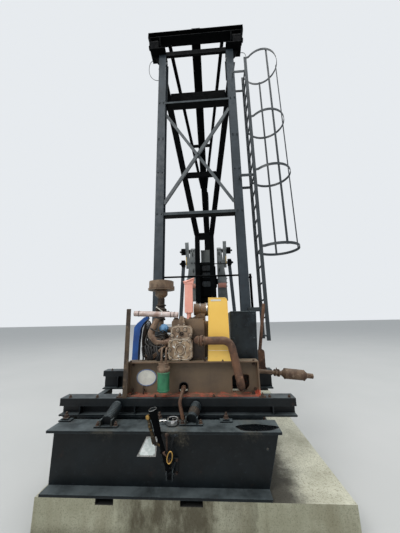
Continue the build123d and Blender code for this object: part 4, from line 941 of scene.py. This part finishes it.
def carburettor():
    """Throttle body and link rod below the air cleaner, and the trim of its lid."""
    x, y = -0.435, -1.3
    p = Piece("carburettor")
    p.turned((x, y, 1.33), UP, [(0, 0.05), (0.012, 0.058), (0.024, 0.05), (0.05, 0.048), (0.06, 0.068),
                                (0.135, 0.07), (0.15, 0.05), (0.17, 0.046), (0.176, 0.062), (0.19, 0.062),
                                (0.196, 0.044), (0.27, 0.044)], 24)
    p.rod((x + 0.04, y - 0.03, 1.42), (x + 0.115, y - 0.07, 1.42), 0.022)
    p.rod((x - 0.03, y - 0.05, 1.455), (x - 0.03, y - 0.115, 1.455), 0.018)
    p.box(x - 0.075, x + 0.075, y - 0.05, y + 0.05, 1.395, 1.405)
    p.bolts(grid((x - 0.062, x + 0.062), y - 0.02, 1.405), UP, 0.009)
    p.done("rust_dark", bevel=0.002)
    link = Piece("throttle_link")
    link.rod((-0.462, -1.415, 1.485), (-0.345, -1.405, 1.395), 0.006)
    link.rod((-0.462, -1.425, 1.485), (-0.462, -1.395, 1.485), 0.009)
    link.rod((-0.345, -1.42, 1.395), (-0.345, -1.35, 1.395), 0.009)
    link.done("white_plate")
    lid = Piece("air_cleaner_trim")
    lid.ring((x, y, 1.812), UP, 0.15, 0.006, 56)
    lid.ring((x, y, 1.722), UP, 0.164, 0.005, 56)
    lid.turned((x, y, 1.812), UP,
               [(0, 0.05), (0.006, 0.045), (0.008, 0.012), (0.028, 0.01), (0.03, 0.004)], 20)
    lid.box(x - 0.028, x + 0.028, y - 0.004, y + 0.004, 1.824, 1.838)
    for a in turns(3, 0.4):
        clip_x, clip_y = x + 0.158 * cos(a), y + 0.158 * sin(a)
        lid.box(clip_x - 0.012, clip_x + 0.012, clip_y - 0.008, clip_y + 0.008, 1.705, 1.76)
    lid.done("rust_grey", bevel=0.0015)


def engine_block_details():
    """Ribs, bolts and side covers of the engine, and a bare end cap."""
    p = Piece("engine_castings")
    for i in range(7):
        y = -1.58 + 0.085 * i
        p.box(0.116, 0.128, y, y + 0.018, 0.95, 1.3)
        p.box(-0.262, -0.248, y, y + 0.018, 0.95, 1.1)
    p.box(-0.225, 0.108, -1.62, -1.42, 1.322, 1.34)
    for i in range(5):
        p.box(-0.215, 0, -1.17 + 0.034 * i, -1.155 + 0.034 * i, 1.324, 1.352)
    p.box(0.112, 0.15, -1.3, -1.04, 1, 1.22)
    p.box(0.112, 0.146, -1.6, -1.32, 0.94, 1.31)
    p.box(0.112, 0.146, -1.02, -0.99, 0.94, 1.31)
    p.rod((0.13, -1.18, 1.11), (0.185, -1.18, 1.11), 0.075, 28)
    p.done("engine_tan_and_shade", bevel=0.004)
    b = Piece("engine_bolts")
    b.bolts(grid((-0.205, -0.12, -0.035, 0.06), (-1.605, -1.52, -1.435), 1.34), UP, 0.011)
    b.bolts(wheel((0.185, -1.18, 1.11), 0.058, 0.058, 6), RIGHT, 0.008)
    b.bolts(wheel((0.15, -1.17, 1.11), 0.11, 0.095, 6), RIGHT, 0.008)
    b.done("bolt_rust")
    c = Piece("barrel_cap")
    c.turned((0.118, -1.3, 1.452), RIGHT,
             [(0, 0.05), (0.012, 0.078), (0.034, 0.082), (0.052, 0.06), (0.058, 0.02)], 28)
    c.ring((0.06, -1.3, 1.452), RIGHT, 0.074, 0.005, 36)
    c.done("steel")


def exhaust_details():
    """Flange bolts, clamps and seams of the exhaust, and the silencer's end seams."""
    p = Piece("exhaust_bolts")
    p.bolts(wheel((0.104, -1.819, 1.124), 0.045, 0.045, 3, pi / 2), RIGHT, 0.008)
    p.ring((0.07, -1.817, 1.124), RIGHT, 0.041, 0.005, 30)
    p.ring((0.128, -1.82, 1.124), RIGHT, 0.041, 0.005, 30)
    p.bolt((0.985, -1.045, 0.7), UP, 0.009, stud=0.012)
    p.done("rust_grey")
    s = Piece("silencer_seams")
    axis = Vector((0.262, 0, -0.025))
    start = Vector((1.079, -1, 0.645))
    for far in (0.012, 0.248):
        s.ring(start + axis.normalized() * far, axis, 0.06, 0.005, 40)
    top = start + Vector((0, 0, 0.0605))
    s.tube([top + Vector((0.01, 0, 0)), top + axis * 0.5, top + axis * 0.9 - Vector((0, 0, 0.0005))],
           0.004, 8)
    s.done("rust_grey")


def guard_details():
    """Bare white plate, lip, crease with a painted highlight, and bolts on the guards."""
    back = -1.77
    label = Piece("bare_label")
    label.box(0.199, 0.305, back - 0.002, back, 1.512, 1.531)
    label.done("white_plate", bevel=0.0008)
    lip = Piece("guard_lip")
    y = back - 0.001
    rim = ((0.157, y, 0.927), (0.16, y, 1), (0.177, y, 1.549), (0.345, y, 1.545), (0.361, y, 1.536),
           (0.369, y, 1.517), (0.374, y, 1.13), (0.379, y, 1), (0.387, y, 0.927))
    lip.tube(rim, 0.0035, 8, 1)
    lip.done("yellow")
    # The crease is drawn pale: a painted highlight along the fold.
    crease = Piece("guard_crease")
    crease.tube([(0.16, y, 1.028), (0.26, y, 1.024), (0.377, y, 1.024)], 0.0038, 8, 2)
    crease.done("yellow_crease_highlight")
    p = Piece("guard_bolts")
    places = ((0.432, 0.86), (0.645, 0.86), (0.432, 1.38), (0.665, 1.38), (0.432, 1.12), (0.655, 1.12))
    p.bolts([(x, -1.56, h) for x, h in places], BACK, 0.009)
    p.done("guard_black_and_sheen")
    edge = Piece("belt_guard_edge")
    corners = [(x, -1.562, h) for x, h in ((0.412, 0.8), (0.412, 1.408), (0.69, 1.404), (0.668, 0.8))]
    for start, end in zip(corners, corners[1:]):
        edge.tube([start, end], 0.006, 8, 1)
    edge.done("guard_black_and_sheen")


def filter_details():
    p = Piece("filter_seams")
    x, y = -0.272, -1.85
    for h in (0.69, 0.84):
        p.ring((x, y, h), UP, 0.0565, 0.004, 40)
    p.done("green")
    head = Piece("filter_head")
    head.turned((x, y, 0.847), UP,
                [(0, 0.052), (0.012, 0.056), (0.03, 0.054), (0.045, 0.046), (0.078, 0.05)], 24)
    head.box(x - 0.06, x + 0.06, y - 0.018, y + 0.018, 0.872, 0.896)
    for dx in (-0.022, 0.022):
        head.bolt((x + dx, y, 0.922), UP, 0.014, washer=False)
        head.rod((x + dx, y, 0.93), (x + dx, y, 0.965), 0.012)
    head.done("rust_grey", bevel=0.0015)


def tank_details():
    """Seam, clamp and slanted lid of the faded red tank."""
    x, y = -0.066, -1.45
    p = Piece("tank_lid")
    left, right, near, far = x - 0.064, x + 0.064, y - 0.054, y + 0.054
    p.prism([(left, near, 1.77), (right, near, 1.8), (right, far, 1.8), (left, far, 1.77)], (0, 0, 0.01))
    p.tube([(x - 0.05, y - 0.05, 1.765), (x + 0.02, y - 0.056, 1.792), (x + 0.07, y - 0.045, 1.815)],
           0.007, 8)
    p.ring((x, y, 1.405), UP, 0.03, 0.005, 24)
    p.done("salmon", bevel=0.002)


# Tower

PIVOT_Y = -0.11
PIVOT_H = 7.7


def tower_bolts():
    p = Piece("tower_bolts")
    heights = (3.365, 3.39, 4.3, 5.1, 5.135, 6.063, 6.086)
    for x, inner in ((-0.787, -0.73), (0.787, 0.73)):
        p.bolts(grid((x - 0.045, x + 0.045), -0.1015, heights), BACK, 0.012)
        p.bolts(grid((x - 0.07, x + 0.07), (-0.122, 0.122), 0.477), UP, 0.018, stud=0.03)
        p.bolts(grid(inner, 0.1235, (6.95, 7.05, 7.28, 7.35)), (0, 1, 0), 0.012)
    p.bolt((0, -0.085, 4.71), BACK, 0.013)
    p.done("tower_grey")
    w = Piece("tower_welds")
    for foot, x in ((-0.892, -0.7045), (0.892, 0.7045)):
        w.weld((foot, -0.15, 0.477), (foot, 0.15, 0.477), 0.007)
        for top, low in ((6.097, 6.052), (3.408, 3.348)):
            w.weld((x, -0.085, top), (x, -0.085, low), 0.006)
    w.done("tower_grey")


def bearing_details():
    """Cap bolts, seat bolts and grease fittings of the beam's bearings."""
    p = Piece("bearing_bolts")
    profile = [(0, 0.095), (0.008, 0.1), (0.02, 0.095), (0.022, 0.05)]
    for side in (-1, 1):
        p.bolts(grid((side * 0.882, side * 1.03), (-0.215, -0.005), 7.505), UP, 0.018, stud=0.02)
        p.turned((side * 1.05, PIVOT_Y, PIVOT_H), (side, 0, 0), profile, 32)
        p.bolts(wheel((side * 1.07, PIVOT_Y, PIVOT_H), 0.075, 0.075, 6), (side, 0, 0), 0.009)
        p.rod((side * 0.94, -0.11, 7.812), (side * 0.94, -0.11, 7.838), 0.009)
    p.done("black_paint_and_shade")


# Beam

SLOPE = radians(28.3)
SOFFIT = 8.03


def along_beam(x, s, offset):
    """Point on the walking beam: s along its underside, offset square to it."""
    return (x, s * cos(SLOPE) + offset * sin(SLOPE), SOFFIT - s * sin(SLOPE) + offset * cos(SLOPE))


def on_head(x, radius, turn):
    """Point on the horse head, at a radius from the beam's pivot and degrees above the beam's line."""
    a = radians(turn) - SLOPE
    return (x, PIVOT_Y + radius * cos(a), PIVOT_H + radius * sin(a))


def beam_details():
    """Web stiffeners and bolts of the walking beam, and raised seams on the horse head's sides."""
    p = Piece("beam_stiffeners")
    corners = ((0.006, 0.02), (0.1, 0.02), (0.1, 0.44), (0.006, 0.44))
    thick = Vector(along_beam(0, 0.012, 0)) - Vector(along_beam(0, 0, 0))
    for s in (0.25, 1.1, 2, 2.9, 3.8, 4.75, 5.25, 6):
        for side in (-1, 1):
            p.prism([along_beam(side * x, s, offset) for x, offset in corners], thick)
    p.done("black_paint_and_shade", "beam", bevel=0.002)
    b = Piece("beam_bolts")
    down = Vector(along_beam(0, 0, -1)) - Vector(along_beam(0, 0, 0))
    for x, s in product((-0.085, 0.085), (3.86, 4.02, 4.88, 4.96, 5.04, 5.12)):
        b.bolt(along_beam(x, s, 0), down, 0.013)
    b.bolts(grid((-0.9, -0.55, -0.25, 0.25, 0.55, 0.9), (-0.19, -0.03), 7.86), (0, 0, -1), 0.014)
    b.bolts(grid((-0.15, 0.15), (-0.19, -0.03), 8.02), UP, 0.016, stud=0.02)
    b.done("black_paint_and_shade", "beam")
    h = Piece("head_seams")
    for side in (-1, 1):
        x = side * 0.1085
        h.tube([on_head(x, 7.31, -7.6 + 4.8 * k) for k in range(9)], 0.008, 8)
        for k in range(6):
            turn = -4 + 6.4 * k
            h.rod(on_head(x - side * 0.004, 7.15, turn), on_head(x + side * 0.006, 7.15, turn), 0.016)
    h.done("black_paint_and_shade", "beam")


# Cranks and reducer

CRANK_TURN = radians(25.2)
PIN_REACH = 0.597
REDUCER_X = 0.03
SHAFT = Vector((REDUCER_X, 2.95, 2.5))
CRANK_PLACE = Matrix.Translation(SHAFT) @ Matrix.Rotation(CRANK_TURN, 4, "X")

# Caps on the crank's stud and wrist pin: X, distance from the shaft, sides and profile
KNOBS = (
    (0.6195, 0.972, 40, [(0, 0.088), (0.003, 0.1012), (0.125, 0.1012), (0.1312, 0.09)]),
    (0.4735, 0.972, 32, [(0, 0.055), (0.004, 0.0632), (0.037, 0.0632), (0.041, 0.055)]),
    (0.7705, PIN_REACH, 32, [(0, 0.06), (0.002, 0.0655), (0.011, 0.0655), (0.013, 0.06)]),
)


def crank_details():
    """Bolts, nuts, the red strap and the painted stripe on the cranks, in the crank's own place."""
    strap = Piece("crank_straps")
    stripe = Piece("crank_stripes")
    p = Piece("crank_bolts")
    for piece in (strap, stripe, p):
        piece.turn = CRANK_PLACE
    for side in (-1, 1):
        for low, high, lift in ((0.35, 0.595, 0.2135), (0.35, 0.372, 0.22), (0.573, 0.595, 0.22)):
            rings = []
            for k in range(9):
                a = CRANK_TURN - radians(22 + 6.2 * k)
                corners = ((low, 0.2095), (high, 0.2095), (high, lift), (low, lift))
                rings.append([(side * x, -far * cos(a), far * sin(a)) for x, far in corners])
            strap.loft(rings)
        x0, x1 = sorted((side * 0.6, side * 0.619))
        stripe.box(x0, x1, -0.0525, -0.049, 0.56, 0.82)
        p.bolts(grid((side * 0.36, side * 0.435), -0.13, (1.012, 0.64)), BACK, 0.013)
        p.bolts(wheel((side * 0.605, 0, 0), 0.17, 0.17, 8), (side, 0, 0), 0.016)
        p.bolt((side * 0.75, 0, 0.972), (side, 0, 0), 0.03, stud=0.012)
        p.bolt((side * 0.783, 0, PIN_REACH), (side, 0, 0), 0.032)
        for x in (0.629, 0.685, 0.74):
            p.ring((side * x, 0, 0.972), RIGHT, 0.098, 0.006, 40)
    strap.done("salmon", "cranks", bevel=0.001)
    stripe.done("yellow", "cranks")
    p.done("black_paint_and_shade", "cranks", bevel=0.001)


def knob_covers():
    """Black caps over the stud's knobs and the wrist pin's end."""
    p = Piece("knob_caps")
    p.turn = CRANK_PLACE
    for side in (-1, 1):
        for x, h, sides, profile in KNOBS:
            p.turned((side * x, 0, h), (side, 0, 0), profile, sides)
    p.done("black_paint_and_shade", "cranks")


def pitman_details():
    """Cap plates and bolts of the bearing blocks that carry the pitmans."""
    y, h = SHAFT.y - PIN_REACH * sin(CRANK_TURN), SHAFT.z + PIN_REACH * cos(CRANK_TURN)
    p = Piece("pitman_caps")
    p.turn = Matrix.Translation((REDUCER_X, 0, 0))
    for side in (-1, 1):
        x0, x1 = sorted((side * 0.657, side * 0.763))
        p.box(x0, x1, y - 0.094, y - 0.08, h - 0.09, h + 0.09)
        p.bolts(grid((side * 0.678, side * 0.742), y - 0.094, (h - 0.07, h + 0.07)), BACK, 0.013)
    p.done("black_paint_and_shade", "pitmans", bevel=0.002)


def reducer_details():
    """Cover plates, bolts and a bent pipe on the gear case, and the top box's trim."""
    back = 2.52
    shift = Matrix.Translation((REDUCER_X, 0, 0))
    p = Piece("reducer_plates")
    p.turn = shift
    plates = ((2.76, 2.92), (2.56, 2.7), (2.28, 2.44))
    for h0, h1 in plates:
        p.box(-0.13, 0.13, back - 0.012, back, h0, h1)
    p.box(-0.175, 0.175, 2.585, 3.12, 3.03, 3.042)
    p.done("guard_black_and_sheen", bevel=0.003)
    b = Piece("reducer_bolts")
    b.turn = shift
    for h0, h1 in plates:
        b.bolts(grid((-0.115, 0, 0.115), back - 0.012, (h0 + 0.015, h1 - 0.015)), BACK, 0.009)
    split_line = tuple(2.53 + 0.165 * i for i in range(9))
    b.bolts(grid((-0.272, 0.272), split_line, 2.53), UP, 0.014, stud=0.012)
    b.bolts(grid((-0.2, -0.07, 0.07, 0.2), 2.506, 2.53), UP, 0.012)
    for y, side in product((3.35, 3.67), (-1, 1)):
        b.bolts(wheel((side * 0.3, y, 2.5), 0.075, 0.075, 6), (side, 0, 0), 0.011)
    b.done("black_paint_and_shade")
    f = Piece("reducer_pipe")
    f.tube([(0.79, 2.46, 2.946), (0.5, 2.46, 2.95), (0.25, 2.46, 2.954), (0.216, 2.46, 2.925),
            (0.213, 2.46, 2.6), (0.205, 2.462, 2.29)], 0.013)
    for h in (2.62, 2.86):
        f.rod((0.213, 2.455, h), (0.213, 2.522, h), 0.011)
        f.box(0.19, 0.236, 2.512, 2.521, h - 0.03, h + 0.03)
    f.done("black_paint_and_shade")
    t = Piece("top_box_trim")
    t.turn = shift
    for h in (3.05, 3.415):
        t.box(-0.16, 0.16, 2.593, 3.107, h, h + 0.014)
    t.bolts(grid((-0.13, 0.13), 2.6, (3.1, 3.38)), BACK, 0.009)
    t.done("reducer_grey", bevel=0.003)


# Ladder and guards

def ladder_details():
    """Rivets at the cage's crossings, bolts at the ladder's arms and welds round the rungs."""
    p = Piece("cage_rivets")
    hoops = (2.6, 4.167, 5.424, 7.015)
    for h, a in product(hoops, (radians(-80), 0, radians(80))):
        out = Vector((cos(a), sin(a), 0))
        head = [(0, 0.01), (0.003, 0.009), (0.006, 0.004)]
        p.turned(Vector((1.471, 0.024, h)) + out * 0.366, -out, head, 12)
    for y, way in ((-0.206, -1), (0.254, 1)):
        p.bolts(grid(1.108, y, tuple(h + 0.01 for h in hoops)), (0, way, 0), 0.008)
        p.bolts(grid((0.84, 1.06), y, (1.49, 4.06, 6.65)), (0, way, 0), 0.01)
    p.done("cage_grey")
    w = Piece("rung_welds")
    for i, y in product(range(20), (-0.194, 0.242)):
        w.ring((1.108, y, 1.041 + 0.3048 * i), (0, 1, 0), 0.016, 0.004, 16)
    w.done("cage_grey")


def base_details():
    """Anchor bolts on the skid's lower flanges and foot plates."""
    p = Piece("anchor_bolts")
    p.bolts(grid((-0.845, -0.695, 0.695, 0.845), (-0.7, 0.4, 1.5, 2.6, 3.7), 0.019), UP, 0.018, stud=0.03)
    p.bolts(grid((-0.275, -0.145, 0.145, 0.275), (2.325, 2.495), 0.02), UP, 0.014, stud=0.02)
    p.done("bolt_rust")


DETAILS = (beam_clamps, oil_patch, bare_plate, gauge_dial, brake_lever_pieces, bracket_bolts,
           brace_fittings, cross_beam_fittings, skid_plates, cover_bolts, ball_cap, breather_sleeve,
           engine_hoses, fan, carburettor, engine_block_details, exhaust_details, guard_details,
           filter_details, tank_details, tower_bolts, bearing_details, beam_details, crank_details,
           knob_covers, pitman_details, reducer_details, ladder_details, base_details)


# View, light and floor

def make_camera():
    data = bpy.data.cameras.new("camera")
    data.lens = CAMERA_LENS
    data.sensor_width = 36
    camera = bpy.data.objects.new("camera", data)
    bpy.context.scene.collection.objects.link(camera)
    up = Vector((0, 0, 1))
    level = Vector((-sin(CAMERA_YAW), cos(CAMERA_YAW), 0))
    side = Vector((cos(CAMERA_YAW), sin(CAMERA_YAW), 0))
    ahead = cos(CAMERA_PITCH) * level + sin(CAMERA_PITCH) * up
    above = cos(CAMERA_PITCH) * up - sin(CAMERA_PITCH) * level
    right = cos(CAMERA_ROLL) * side - sin(CAMERA_ROLL) * above
    above = sin(CAMERA_ROLL) * side + cos(CAMERA_ROLL) * above
    turn = Matrix((right, above, -ahead)).transposed().to_4x4()
    camera.matrix_world = Matrix.Translation(CAMERA_AT) @ turn
    bpy.context.scene.camera = camera


def make_light():
    """Overcast sky, brighter overhead, behind a plain pale backdrop, and two large lamps."""
    world = bpy.data.worlds.new("overcast")
    bpy.context.scene.world = world
    world.use_nodes = True
    tree = Tree(world.node_tree)
    height = tree.add("SeparateXYZ", {"Vector": tree.add("TexCoord").outputs["Generated"]}).outputs["Z"]
    strength = tree.add("MapRange", {"Value": height, "To Min": 0.5, "To Max": 0.95}).outputs["Result"]
    sky = tree.nodes["Background"]
    tree.feed(sky.inputs["Color"], (0.9, 0.95, 1, 1))
    tree.feed(sky.inputs["Strength"], strength)
    backdrop = tree.add("Background", {"Color": (0.8, 0.83, 0.86, 1), "Strength": 1}).outputs["Background"]
    seen = tree.add("LightPath").outputs["Is Camera Ray"]
    choose = tree.add("MixShader", {"Fac": seen, 1: sky.outputs["Background"], 2: backdrop})
    tree.feed(tree.nodes["World Output"].inputs["Surface"], choose.outputs["Shader"])
    for name, place, energy, size in (("sky_left", (-7, -10, 12), 1150, 7),
                                      ("sky_top", (3, 1, 17), 1450, 11)):
        lamp = bpy.data.lights.new(name, "AREA")
        lamp.energy = energy
        lamp.size = size
        lamp.color = (1, 0.985, 0.96)
        lamp_object = bpy.data.objects.new(name, lamp)
        bpy.context.scene.collection.objects.link(lamp_object)
        lamp_object.location = place
        toward = Vector((0, 1.5, 3)) - Vector(place)
        lamp_object.rotation_euler = toward.to_track_quat("-Z", "Y").to_euler()


def make_floor():
    data = bpy.data.meshes.new("floor")
    reach = 120
    corners = [(-reach, -reach, 0), (reach, -reach, 0), (reach, reach, 0), (-reach, reach, 0)]
    data.from_pydata(corners, [], [(0, 1, 2, 3)])
    floor = bpy.data.objects.new("floor", data)
    bpy.context.scene.collection.objects.link(floor)
    p = Paint("floor", 0.9)
    p.color = p.blend((0.44, 0.45, 0.44, 1), (0.5, 0.5, 0.49, 1), p.noise(0.6, 3))
    p.finish()
    data.materials.append(MATERIALS["floor"])


make_materials()
dress_nodes()
for detail in DETAILS:
    detail()
make_camera()
make_light()
make_floor()

bpy.context.scene.view_settings.view_transform = "Standard"
